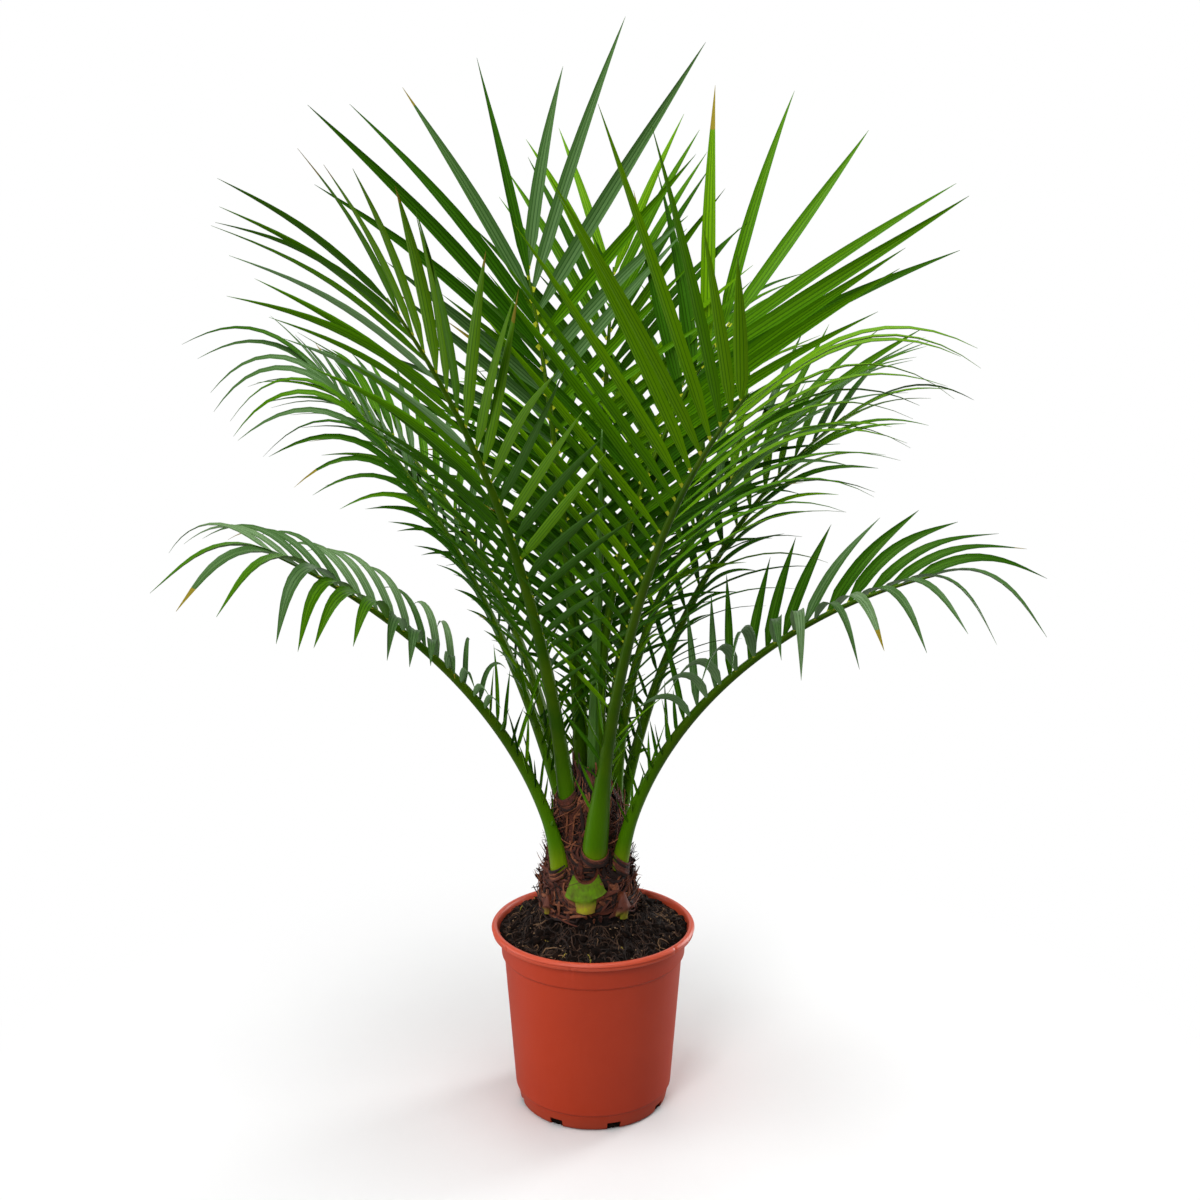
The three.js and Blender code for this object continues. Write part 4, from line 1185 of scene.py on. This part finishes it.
# %% Fronds at the back
FRONDS.update({
    "back_left_tall": dict(
        azimuth=140, start=(17, 372), length=617, rise=87, fall=76, bend=1.4, sway=0, base=15,
        spacing=26, tones=("deep", "mid", "teal"), nodes=("blade",), rows=(
            dict(length=((0, 110), (0.3, 210), (0.68, 240), (0.74, 375), (0.8, 345), (0.88, 268),
                         (1, 240)),
                 width=((0, 6), (0.3, 9), (0.6, 12), (0.8, 16), (1, 14)),
                 forward=((0, 58), (0.5, 54), (0.76, 36), (0.88, 24), (0.95, 4)), lift=-14,
                 droop=8, hang=(0, 1), front=0.6),
            dict(length=((0, 110), (0.3, 230), (0.78, 240), (0.84, 395), (0.91, 330), (1, 205)),
                 width=((0, 6), (0.3, 9), (0.6, 12), (0.8, 16), (1, 14)),
                 forward=((0, 58), (0.5, 58), (0.84, 44), (0.91, 28), (1, 12)), lift=42, droop=4,
                 hang=(0, 1), front=0.4),
        )),
    "back_right_tall": dict(
        azimuth=28, start=(16, 372), length=588, rise=98, fall=48, bend=1, sway=0, base=14,
        spacing=28, tones=("mid", "bright", "deep"), nodes=("blade", "blade_2"), rows=(
            dict(length=((0, 110), (0.3, 230), (0.82, 250), (0.87, 325), (1, 300)),
                 width=((0, 6), (0.3, 9), (0.6, 12), (0.8, 16), (1, 15)),
                 forward=((0, 58), (0.5, 60), (0.75, 46), (0.9, 26), (1, 8)), lift=60, droop=2,
                 hang=(0, 1), front=0.4),
            dict(length=((0, 110), (0.3, 240), (0.5, 280), (0.85, 350), (1, 290)),
                 width=((0, 6), (0.3, 10), (0.5, 13), (0.75, 18), (1, 16)),
                 forward=((0, 56), (0.5, 46), (0.8, 40), (0.9, 30), (0.95, 10), (1, -14)),
                 lift=-10, droop=((0, 6), (0.5, 12), (1, 4)), hang=(0, 1), front=1.2,
                 tones=("mid", "deep", "mid")),
        )),
    "back_tall": dict(
        azimuth=82, start=(19, 362), length=640, rise=88, fall=60, bend=1.3, sway=0, base=15,
        spacing=24, tones=("mid", "deep", "bright"), nodes=("blade", "blade_2"), rows=(
            dict(length=((0, 100), (0.4, 250), (1, 230)), width=((0, 6), (0.4, 12), (1, 13)),
                 forward=((0, 58), (0.5, 52), (1, 20)), lift=20, droop=8, hang=(0.2, 1)),
            dict(length=((0, 100), (0.4, 250), (1, 230)), width=((0, 6), (0.4, 12), (1, 13)),
                 forward=((0, 58), (0.5, 52), (1, 20)), lift=20, droop=8, hang=(0.2, 1)),
        )),
    "back_left_low": dict(
        azimuth=146, start=(31, 312), length=600, rise=80, fall=32, bend=1.2, sway=0, base=14,
        spacing=22, tones=("mid", "deep", "teal"), nodes=("blade",), rows=(
            dict(length=((0, 40), (0.3, 90), (0.55, 170), (1, 180)),
                 width=((0, 5), (0.4, 10), (1, 10)),
                 forward=((0, 34), (0.5, 40), (1, 18)), lift=10,
                 droop=((0, 24), (0.5, 50), (1, 50)), hang=(0.15, 1.05)),
            dict(length=((0, 70), (0.4, 210), (1, 190)), width=((0, 5), (0.4, 10.5), (1, 10)),
                 forward=((0, 50), (0.5, 48), (1, 18)), lift=14, droop=24, hang=(0.15, 1.05)),
        )),
    "back_right_low": dict(
        azimuth=28, start=(31, 312), length=600, rise=80, fall=30, bend=1.2, sway=0, base=14,
        spacing=29, tones=("mid", "deep", "bright"), nodes=("blade",), rows=(
            dict(length=((0, 70), (0.4, 210), (1, 190)), width=((0, 5), (0.4, 10.5), (1, 10)),
                 forward=((0, 50), (0.5, 48), (1, 18)), lift=14, droop=24, hang=(0.15, 1.05)),
            dict(length=((0, 40), (0.3, 90), (0.55, 170), (1, 180)),
                 width=((0, 5), (0.4, 10), (1, 10)),
                 forward=((0, 34), (0.5, 40), (1, 18)), lift=10,
                 droop=((0, 24), (0.5, 50), (1, 50)), hang=(0.15, 1.05)),
        )),
    "back_low": dict(
        azimuth=100, start=(34, 300), length=620, rise=79, fall=32, bend=1.15, sway=0, base=15,
        spacing=22, tones=("mid", "bright", "deep"), nodes=("blade",), rows=(
            dict(length=((0, 80), (0.4, 230), (1, 190)), width=((0, 5), (0.4, 11), (1, 10)),
                 forward=((0, 52), (0.5, 48), (1, 18)), lift=14, droop=40, hang=(0.15, 1.05)),
            dict(length=((0, 80), (0.4, 230), (1, 190)), width=((0, 5), (0.4, 11), (1, 10)),
                 forward=((0, 52), (0.5, 48), (1, 18)), lift=14, droop=40, hang=(0.15, 1.05)),
        )),
    "back_right_mid": dict(
        azimuth=64, start=(30, 325), length=640, rise=82, fall=40, bend=1.3, sway=0, base=14,
        spacing=23, tones=("mid", "bright", "deep"), nodes=("blade",), rows=(
            dict(length=((0, 90), (0.4, 250), (1, 210)), width=((0, 5), (0.4, 12), (1, 11)),
                 forward=((0, 54), (0.5, 50), (1, 18)), lift=18, droop=18, hang=(0.1, 1)),
            dict(length=((0, 90), (0.4, 250), (1, 210)), width=((0, 5), (0.4, 12), (1, 11)),
                 forward=((0, 54), (0.5, 50), (1, 18)), lift=12, droop=30, hang=(0.1, 1)),
        )),
})
print("fronds:", len(FRONDS))

# %% The rib's curve
RIB_STEPS = 48
LEAF_START = 0.28


def rib_of(frond):
    """Places along the rib in metres, and the directions along, sideways and up there."""
    start = frond.get("start_azimuth", frond["azimuth"])
    place = around(start, frond["start"][0], frond["start"][1]) * MM
    rows = []
    for index in range(RIB_STEPS + 1):
        middle = min((index + 0.5) / RIB_STEPS, 1)
        slope = math.radians(lerp(frond["rise"], frond["fall"], middle ** frond["bend"]))
        azimuth = math.radians(frond["azimuth"] + frond["sway"] * middle)
        along = np.array([math.cos(slope) * math.cos(azimuth),
                          math.cos(slope) * math.sin(azimuth), math.sin(slope)])
        side = np.array([-math.sin(azimuth), math.cos(azimuth), 0])
        rows.append((place, along, side, np.cross(along, side)))
        place = place + along * frond["length"] / RIB_STEPS * MM
    return np.array(rows)


def rib_at(rib, share):
    """Place, along, side and up at a share of the rib's length."""
    at = share * RIB_STEPS
    index = int(np.clip(math.floor(at), 0, RIB_STEPS - 1))
    row = lerp(rib[index], rib[index + 1], at - index)
    return row[0], unit(row[1]), unit(row[2]), unit(row[3])


RIBS = {name: rib_of(frond) for name, frond in FRONDS.items()}
print("highest rib tip:", round(max(rib[-1][0][2] for rib in RIBS.values()), 3), "m")

# %% [markdown]
# ## Stalks and ribs
#
# The stalk clasps the trunk with a broad sheath, narrows to an oval rod with a shallow channel
# on its upper side, and thins out to a wire at the tip. One oval section, swept and scaled along
# the curve, makes the whole rib. Its colour runs from yellow-green at the foot to deep green.

# %% Rib meshes
SHEATH = 0.12  # where the sheath ends, as a share of the rib
FLARE, BODY = 0.62, 0.55  # half widths of sheath and stalk, as parts of the frond's base
RIB_SECTION, RIB_RINGS = 16, 64
FLATNESS = 0.95
CHANNEL, CHANNEL_WIDTH = 0.24, 0.45
TIP_HALF = 1.1
FOOT_STEP, FOOT_SIZE = 0.007, 0.84  # how far the blunt end stands off, and how slim it is


def stalk_half(frond, share):
    """Half the width of a stalk in mm."""
    sheath = 1 - smooth(share - frond.get("foot", 0), 0, frond.get("sheath", SHEATH))
    body = lerp(frond["base"] * BODY, TIP_HALF, share)
    return lerp(body, frond["base"] * frond.get("flare", FLARE), sheath)


def rib_mesh(frond, rib):
    """The rib from its blunt foot to its tip."""
    turn = np.arange(RIB_SECTION) / RIB_SECTION * math.tau
    rings = []
    start, end = frond.get("foot", 0), frond.get("end", 1)
    shares = lerp(start, end, np.linspace(0, 1, RIB_RINGS) ** 1.15)
    for share in np.concatenate([[start - FOOT_STEP], shares]):
        place, _, side, up = rib_at(rib, share)
        half = stalk_half(frond, max(share, start)) * MM * (FOOT_SIZE if share < start else 1)
        channel = CHANNEL * np.exp(-(np.cos(turn) / CHANNEL_WIDTH) ** 2) * (np.sin(turn) > 0)
        x = half * np.cos(turn)
        y = half * FLATNESS * (np.sin(turn) - channel * (1 - 0.5 * smooth(share, 0.4, 0.8)))
        rings.append(place + side * x[:, None] + up * y[:, None])
    return np.array(rings).reshape(-1, 3), ring_faces(RIB_RINGS + 1, RIB_SECTION)


print("faces in a rib:", len(ring_faces(RIB_RINGS + 1, RIB_SECTION)))

# %% Rib finish and pieces
rib_green = Finish("rib_green", 0.42)
rib_green.shader.inputs["Specular IOR Level"].default_value = 0.3
rib_green.shader.inputs["Specular Tint"].default_value = colour(200, 255, 110)
foot_mask = rib_green.effect(rise, Low=0.288, High=0.34).outputs["Mask"]
high_mask = rib_green.effect(rise, Low=0.35, High=0.47).outputs["Mask"]
lower = rib_green.mixed(foot_mask, colour(128, 150, 14), colour(70, 116, 0))
upper = rib_green.mottled(colour(40, 76, 0), colour(62, 90, 2), 26.0)
rib_green.feed("Base Color", rib_green.mixed(high_mask, lower, upper))
rib_green.feed("Roughness", rib_green.grained(30.0, low=0.34, high=0.48))
rib_green.relief(rib_green.grained(380.0, (1, 1, 0.12)), 0.22, 0.0006)

for name, frond in FRONDS.items():
    heap = Heap()
    heap.add(*rib_mesh(frond, RIBS[name]))
    new_piece(f"rib_{name}", heap, [rib_green.material], [f"frond_{name}_stalk"])

# %% [markdown]
# The fibre does not end below a stalk: it laps over the foot like a collar. Short strips bent
# round each foot, sagging in front and rising at the sides, hide where the stalk begins.

# %% Collars of fibre
COLLAR_STRIPS = 11
COLLAR_TURN = 112  # degrees from the middle of a strip to its ends
COLLAR_RISE = 7  # mm that its sides stand above its middle, a quarter of the way round
chance = random.Random(47)
for name, frond in FRONDS.items():
    foot = frond.get("foot", 0)
    place, along, side, up = rib_at(RIBS[name], foot)
    half = stalk_half(frond, foot) * MM
    for index in range(COLLAR_STRIPS):
        turn = np.linspace(-COLLAR_TURN, COLLAR_TURN, STRIP_STEPS) + chance.gauss(0, 16)
        turn = np.radians(turn)[:, None]
        reach = half * chance.uniform(1.0, 1.16) + 0.5 * MM
        tilt = chance.gauss(0, 2.2) * MM * np.sin(turn)
        level = chance.uniform(-7, 5) * MM + COLLAR_RISE * MM * (1 - np.cos(turn)) + tilt
        outward = side * np.sin(turn) - up * np.cos(turn) * FLATNESS
        path = place + outward * reach + along * level
        width = chance.uniform(2.0, 5.0) * MM
        strips.add(*fibre_strip(path, outward, width), fibre_tone(4, 5, 2))
new_piece("fibre_strips", strips, FIBRE_FINISHES)

# %% [markdown]
# ## Leaflets
#
# A leaflet of this palm is a long narrow blade, folded up along its middle and creased again on
# each side of the fold. Each is a closed strip of a few faces with that section. It leaves the rib
# at its row's angle, and weight bends it over in an upright plane, which one rotation per station
# gives without changing its length. Colours are plain and dealt out leaflet by leaflet: one for the
# bands, a darker one for the two creases, which is painted shade in the creases together with the
# darker line of the vein there, and a greyer one for the underside.

# %% Leaf colours
# The creases' colours in each tone are darker: painted shade in the creases, together with the
# darker line of the vein there.
PART_NAMES = ("band", "inner_band", "crease_shade", "under", "under_crease")
TONES = {  # a colour for each part, in that order
    "bright": ((84, 130, 0), (94, 140, 0), (56, 98, 0), (88, 134, 0), (60, 102, 0)),
    "mid": ((60, 108, 0), (68, 116, 0), (40, 80, 0), (66, 114, 0), (46, 88, 0)),
    "deep": ((34, 78, 2), (40, 86, 4), (24, 58, 0), (46, 88, 8), (32, 68, 4)),
    "teal": ((62, 98, 42), (74, 108, 54), (44, 78, 28), (100, 134, 84), (78, 110, 62)),
    # silver: the whole leaflet is painted pale grey-green, a painted sheen for the white light that
    # glossy upper sides reflect
    "silver_sheen": ((96, 126, 78), (106, 136, 90), (70, 102, 52), (112, 144, 94), (88, 120, 72)),
}
TONE_NAMES = list(TONES)
NODE_FINISH = len(PART_NAMES) * len(TONES)
DRY_FINISH = NODE_FINISH + 1
GREEN_SHEEN, GREY_SHEEN = (190, 255, 90), (225, 255, 215)


def leaf_finish(name, tint, roughness, sheen=GREEN_SHEEN):
    """A plain leaf colour whose gloss varies softly from place to place."""
    finish = Finish(name, roughness)
    finish.shader.inputs["Specular Tint"].default_value = colour(*sheen)
    finish.shader.inputs["Base Color"].default_value = colour(*tint)
    finish.shader.inputs["Specular IOR Level"].default_value = 0.22
    gloss = finish.grained(24.0, low=roughness - 0.06, high=roughness + 0.08)
    finish.feed("Roughness", gloss)
    return finish.material


LEAF_FINISHES = []
for tone_name, tints in TONES.items():
    sheen = GREY_SHEEN if tone_name in ("teal", "silver_sheen") else GREEN_SHEEN
    for part_name, tint in zip(PART_NAMES, tints):
        LEAF_FINISHES.append(leaf_finish(f"leaf_{tone_name}_{part_name}", tint, 0.45, sheen))
LEAF_FINISHES.append(leaf_finish("leaf_node", (164, 172, 40), 0.5))
LEAF_FINISHES.append(leaf_finish("leaf_dry_tip", (134, 118, 36), 0.7))
print("leaf finishes:", len(LEAF_FINISHES))

# %% One leaflet
LEAF_STEPS = 14
LEAF_COLUMNS = np.array([-1, -0.56, -0.42, -0.08, 0.08, 0.42, 0.56, 1.0])
LEAF_FOLD = np.array([0.34, 0.10, 0.12, 0.0, 0.0, 0.12, 0.10, 0.34])
# On both sides the creases get the darker colours: painted shade, together with the vein's darker
# line.
TOP_PARTS = (0, 2, 1, 2, 1, 2, 0)
UNDER_PARTS = (3, 4, 3, 4, 3, 4, 3)
LEAF_THICK = 0.5
LEAF_SHARE = np.concatenate([[0, 0.018], np.linspace(0.07, 1, LEAF_STEPS - 2)])
LEAF_FOOT = 0.30 + 0.70 * smooth(LEAF_SHARE, 0, 0.16)  # broadens from a narrow foot
LEAF_TAPER = 1 - np.clip((LEAF_SHARE - 0.38) / 0.62, 0, 1) ** 1.45
LEAF_OUTLINE = LEAF_FOOT * LEAF_TAPER
LEAF_OUTLINE[-1] = 0.02
DOWN = np.array([0.0, 0.0, -1.0])
HANG_LIMIT = 0.12  # radians that a drooping leaflet keeps from straight down


def leaflet(root, direction, facing, length, width, droop, swing, twist, hang=(0, 0.8)):
    """Points and faces of one leaflet. Lengths in metres, angles in radians."""
    facing = unit(facing - direction * (facing @ direction))
    share = LEAF_SHARE
    axis = np.cross(direction, DOWN)
    size = np.linalg.norm(axis)
    room = math.acos(float(np.clip(direction @ DOWN, -1, 1)))
    bend = np.minimum(droop * smooth(share, *hang), max(room - HANG_LIMIT, 0))
    along = turned(direction, facing, swing * share)
    up = np.broadcast_to(facing, (LEAF_STEPS, 3))
    if size > 1e-6:
        axis = axis / size
        cos, sin = np.cos(bend)[:, None], np.sin(bend)[:, None]
        along, up = (
            v * cos + np.cross(axis, v) * sin + axis * (v @ axis)[:, None] * (1 - cos)
            for v in (along, up)
        )
    steps = (along[1:] + along[:-1]) / 2 * (length * np.diff(share))[:, None]
    path = root + np.concatenate([np.zeros((1, 3)), np.cumsum(steps, axis=0)])
    across = np.cross(up, along)
    spin = (twist * share)[:, None]
    across, up = (across * np.cos(spin) + up * np.sin(spin),
                  up * np.cos(spin) - across * np.sin(spin))
    half = width / 2 * LEAF_OUTLINE
    thickness = LEAF_THICK * MM * (0.4 + 0.6 * LEAF_OUTLINE)
    return ribbon(path, across, up, half, LEAF_COLUMNS, LEAF_FOLD, thickness)


def leaf_numbers(tone, dry):
    """The finish of each face: bands and painted-shade creases on top, underside, yellow foot, dry
    tip.
    """
    top = len(TOP_PARTS)
    first = len(PART_NAMES) * tone
    around_strip = [first + part for part in TOP_PARTS + UNDER_PARTS]
    numbers = []
    for segment in range(LEAF_STEPS - 1):
        if segment == 0:
            numbers += [NODE_FINISH] * (2 * top)
        elif dry and segment >= LEAF_STEPS - 1 - dry:
            numbers += [DRY_FINISH] * (2 * top)
        else:
            numbers += around_strip
    return numbers + [NODE_FINISH, DRY_FINISH if dry else first]


print("faces in a leaflet:", len(ring_faces(LEAF_STEPS, 2 * len(LEAF_COLUMNS) - 2, True)))

# %% [markdown]
# The rows follow the same rule as the CAD blades, so the leaflets fill the outline that those
# keep. Small seeded changes in length, angle, bend and colour keep any two from being alike.

# %% Rows of leaflets
chance = random.Random(5)
FRONT = np.array([0.0, -1.0, 0.25])
SHADE, SHADED = 0.5, 0.75  # the shaded part of a row, and the odds of a deep leaflet in it
DRY_ODDS = (36, 2, 1)  # for a tip with no, one or two dry segments


def at_part(values, part):
    """The value at a part of the row, from one number or from (part, value) points."""
    if np.isscalar(values):
        return values
    return float(np.interp(part, [at for at, _ in values], [value for _, value in values]))


def add_row(heap, frond, rib, hand):
    """One row of leaflets; hand is 1 on the side of rising azimuth and -1 on the other."""
    which = 0 if hand > 0 else 1
    row, end = frond["rows"][which], frond.get("end", 1)
    start = frond.get("leaves", LEAF_START)
    count = round(frond["length"] * (end - start) / frond["spacing"])
    for index in range(count):
        part = (index + 0.25 + 0.5 * which + chance.uniform(-0.12, 0.12)) / (count + 0.2)
        part = min(part, 1.0)
        share = lerp(start, end, part)
        place, along, side, up = rib_at(rib, share)
        lift = math.radians(at_part(row["lift"], part) + chance.gauss(0, 3))
        droop = math.radians(at_part(row["droop"], part) * chance.uniform(0.8, 1.2))
        forward = math.radians(at_part(row["forward"], part) + chance.gauss(0, 1.8))
        sideways = hand * side * math.cos(lift) + up * math.sin(lift)
        direction = unit(along * math.cos(forward) + sideways * math.sin(forward))
        facing = up * math.cos(lift) - hand * side * math.sin(lift) + FRONT * row.get("front", 0)
        length = at_part(row["length"], part) * chance.uniform(0.95, 1.03) * MM
        width = at_part(row["width"], part) * chance.uniform(0.88, 1.08) * MM
        half = stalk_half(frond, share) * MM
        root = place + hand * side * half * 0.75 + up * half * 0.2
        tone = TONE_NAMES.index(chance.choice(row.get("tones", frond["tones"])))
        # painted shade: most leaflets near the trunk take the deep tone, for the crown's dark
        # inside
        if chance.random() < SHADED and part < frond.get("shade", SHADE):
            tone = TONE_NAMES.index("deep")
        dry = chance.choices((0, 1, 2), DRY_ODDS)[0]
        swing, twist = math.radians(chance.gauss(0, 4)), math.radians(chance.gauss(0, 20))
        shape = leaflet(root, direction, facing, length, width, droop, swing, twist, row["hang"])
        heap.add(*shape, leaf_numbers(tone, dry))


for name, frond in FRONDS.items():
    heap = Heap()
    for hand in (1, -1):
        add_row(heap, frond, RIBS[name], hand)
    nodes = [f"frond_{name}_{node}" for node in frond["nodes"]]
    new_piece(f"leaflets_{name}", heap, LEAF_FINISHES, nodes, sharp=50)

# %% [markdown]
# ## Spines and thin first leaflets
#
# Down the stalk the leaflets shrink to stiff spines. They stand out to both sides, and some of
# the longer ones cross in front of the crown's heart.

# %% Spines
# Millimetres and degrees. Length and width grow up the stalk from the first value to the last.
SPINE = {"step": 20.0, "forward": (24, 62), "lift": (10, 80), "length": (40, 88),
         "width": (3.8, 5.2), "tones": ("mid", "deep", "bright")}
SPINE_START, SPINE_END = 0.09, 0.004  # shares of the rib, after the foot and before the leaflets
chance = random.Random(31)
spines = Heap()
for name, frond in FRONDS.items():
    first = frond.get("foot", 0) + SPINE_START
    last = frond.get("leaves", LEAF_START) - SPINE_END
    count = round(frond["length"] * (last - first) / SPINE["step"])
    for index in range(count * 2):
        hand = 1 if index % 2 else -1
        part = (index + chance.random()) / (count * 2)
        share = lerp(first, last, part)
        place, along, side, up = rib_at(RIBS[name], share)
        forward = math.radians(chance.uniform(*SPINE["forward"]))
        lift = math.radians(chance.uniform(*SPINE["lift"]))
        sideways = hand * side * math.cos(lift) + up * math.sin(lift)
        direction = unit(along * math.cos(forward) + sideways * math.sin(forward))
        length = lerp(*SPINE["length"], part) * chance.uniform(0.6, 1.2) * MM
        width = lerp(*SPINE["width"], part) * MM
        root = place + hand * side * stalk_half(frond, share) * MM * 0.85
        tone = TONE_NAMES.index(chance.choice(SPINE["tones"]))
        droop = math.radians(chance.uniform(0, 12))
        swing, twist = math.radians(chance.gauss(0, 5)), math.radians(chance.gauss(0, 20))
        shape = leaflet(root, direction, up + FRONT, length, width, droop, swing, twist)
        spines.add(*shape, leaf_numbers(tone, 0))
new_piece("stalk_spines", spines, LEAF_FINISHES, sharp=50)

# %% [markdown]
# ## The unopened leaf
#
# In the heart of the crown stands the next leaf, still shut: a slim lance with its leaflets
# pressed together. A tapering tube with pleats along it is enough.

# %% Spear
SPEAR = {"azimuth": 60, "lean": 3, "base": 400, "length": 398, "radius": 6.6, "pleats": 7,
         "pleat_depth": 0.14, "rings": 30}
spear_heap = Heap()
lean = math.radians(SPEAR["lean"])
direction = around(SPEAR["azimuth"], math.sin(lean), math.cos(lean))
turn = np.arange(SPEAR["pleats"] * 4) / (SPEAR["pleats"] * 4) * math.tau
spear_rings = []
for share in np.linspace(0, 1, SPEAR["rings"]):
    middle = np.array([0, 0, SPEAR["base"] * MM]) + direction * SPEAR["length"] * MM * share
    radius = SPEAR["radius"] * MM * (1 - 0.88 * share**1.5)
    pleats = np.cos(turn * SPEAR["pleats"] + share * 2)
    ruffled = radius * (1 - SPEAR["pleat_depth"] * pleats)
    spear_rings.append(np.stack([middle[0] + ruffled * np.cos(turn),
                                 middle[1] + ruffled * np.sin(turn),
                                 np.full(len(turn), middle[2])], axis=1))
spear_heap.add(np.array(spear_rings).reshape(-1, 3), ring_faces(SPEAR["rings"], len(turn)))
young_green = Finish("young_leaf", 0.45)
young_green.feed("Base Color", young_green.mottled(colour(52, 96, 8), colour(66, 110, 14), 30.0))
young_green.relief(young_green.grained(260.0, (1, 1, 0.08)), 0.3, 0.0006)
new_piece("spear_leaf_folded", spear_heap, [young_green.material], ["spear_leaf"])

# %% [markdown]
# ## Cut leaf bases
#
# Old leaves were cut off at the foot. What is left is a broad green stub that hugs the trunk,
# widest in its middle, with a yellow-green foot and a hollow top between two horns where the
# sides dried higher than the pith.

# %% Boot shapes
# low and high are the heights of foot and top in mm. horn lifts the top's two corners, and dip
# hollows its middle; a dip below zero makes a pointed top instead.
BOOTS = {
    "boot_front": dict(azimuth=-92, low=257, high=296, width=46, thick=9, horn=6, dip=5),
    "boot_left": dict(azimuth=219, low=246, high=261, width=15, thick=6, horn=0, dip=-8),
    "boot_right": dict(azimuth=-47, low=243, high=263, width=24, thick=8, horn=0, dip=-11),
    "boot_back_right": dict(azimuth=38, low=239, high=276, width=38, thick=9, horn=6, dip=4),
    "boot_back_left": dict(azimuth=122, low=239, high=272, width=36, thick=9, horn=7, dip=4),
}
BOOT_COLUMNS, BOOT_ROWS = 18, 16
BROADEST = 0.42  # the share of a boot's height where it is broadest, under a torn edge
BOOT_GAP = 2.4  # mm between the trunk's outline and the boot's back


def boot_mesh(boot, seed):
    """A curved plate with a thick foot, a torn edge at its broadest and a horned top."""
    front, back = [], []
    for row in range(BOOT_ROWS + 1):
        v = row / BOOT_ROWS
        spread = 0.42 + 0.3 * v + 0.46 * smooth(v, BROADEST - 0.08, BROADEST)
        spread -= 1.1 * max(v - BROADEST, 0)
        for column in range(BOOT_COLUMNS + 1):
            u = column / BOOT_COLUMNS * 2 - 1
            top = boot["high"] + boot["horn"] * abs(u) ** 3 - boot["dip"] * (1 - u * u)
            ragged = 3.5 * u * math.exp(-(((v - 0.4) / 0.1) ** 2))
            height = (lerp(boot["low"], top, v) + ragged) * MM
            lip = 1.3 * np.exp(-((v - BROADEST) / 0.06) ** 2)
            base = trunk_radius(height) + BOOT_GAP * MM
            bulge = boot["thick"] * (1 - 0.55 * abs(u) ** 2.2) * lerp(1, 0.55, v**1.5) + lip
            angle = math.degrees(u * spread * boot["width"] / 2 * MM / base)
            spot = around_trunk(boot["azimuth"] + angle, base, height)
            bulge += 0.7 * rough(spot, 110, 3, seed)
            front.append(around_trunk(boot["azimuth"] + angle, base + bulge * MM, height))
            back.append(around_trunk(boot["azimuth"] + angle, base - 2 * MM, height))
    size = BOOT_COLUMNS + 1
    count = len(front)
    faces = []
    for row in range(BOOT_ROWS):
        for column in range(BOOT_COLUMNS):
            a = row * size + column
            faces.append((a, a + 1, a + size + 1, a + size))
            faces.append((count + a, count + a + size, count + a + size + 1, count + a + 1))
    rim = [*range(size), *range(2 * size - 1, count, size),
           *range(count - 2, count - size - 1, -1), *range(count - 2 * size, 0, -size)]
    numbers = [int(index >= 2 * BOOT_COLUMNS * (BOOT_ROWS - 1)) for index in range(len(faces))]
    for a, b in zip(rim, rim[1:] + rim[:1]):
        faces.append((b, a, count + a, count + b))
        numbers.append(1)
    return np.array(front + back), faces, numbers


print("boots:", len(BOOTS))


# %% Boot finishes and pieces
def boot_finish(name, body, foot, edge, foot_height):
    """A leaf base: its own colour, a yellower foot, and brown streaks where it dries."""
    finish = Finish(name, 0.6)
    finish.shader.inputs["Specular IOR Level"].default_value = 0.15
    above_foot = finish.effect(rise, Low=foot_height - 0.005, High=foot_height + 0.005)
    streaks = finish.grained(210.0, (1, 1, 0.18), -0.8, 0.5)
    lower = finish.mottled(colour(*foot), colour(150, 120, 50), 150.0)
    upper = finish.mottled(colour(*body), colour(*edge), 95.0, 0.2)
    tone = finish.mixed(above_foot.outputs["Mask"], lower, upper)
    finish.feed("Base Color", finish.mixed(streaks, tone, colour(*edge)))
    finish.relief(finish.grained(420.0, (1, 1, 0.2)), 0.35, 0.0008)
    return finish.material


green_boot = boot_finish("boot_green", (104, 150, 4), (160, 168, 14), (82, 88, 24), 0.267)
brown_boot = boot_finish("boot_brown", (120, 70, 56), (128, 146, 20), (84, 46, 38), 0.251)
dry_boot = boot_finish("boot_dry", (112, 58, 36), (112, 58, 36), (70, 36, 26), 0.2)
for index, (name, boot) in enumerate(BOOTS.items()):
    heap = Heap()
    heap.add(*boot_mesh(boot, index * 3.1))
    finish = brown_boot if boot["dip"] < 0 else green_boot
    new_piece(f"{name}_stub", heap, [finish, dry_boot], [name], sharp=50)
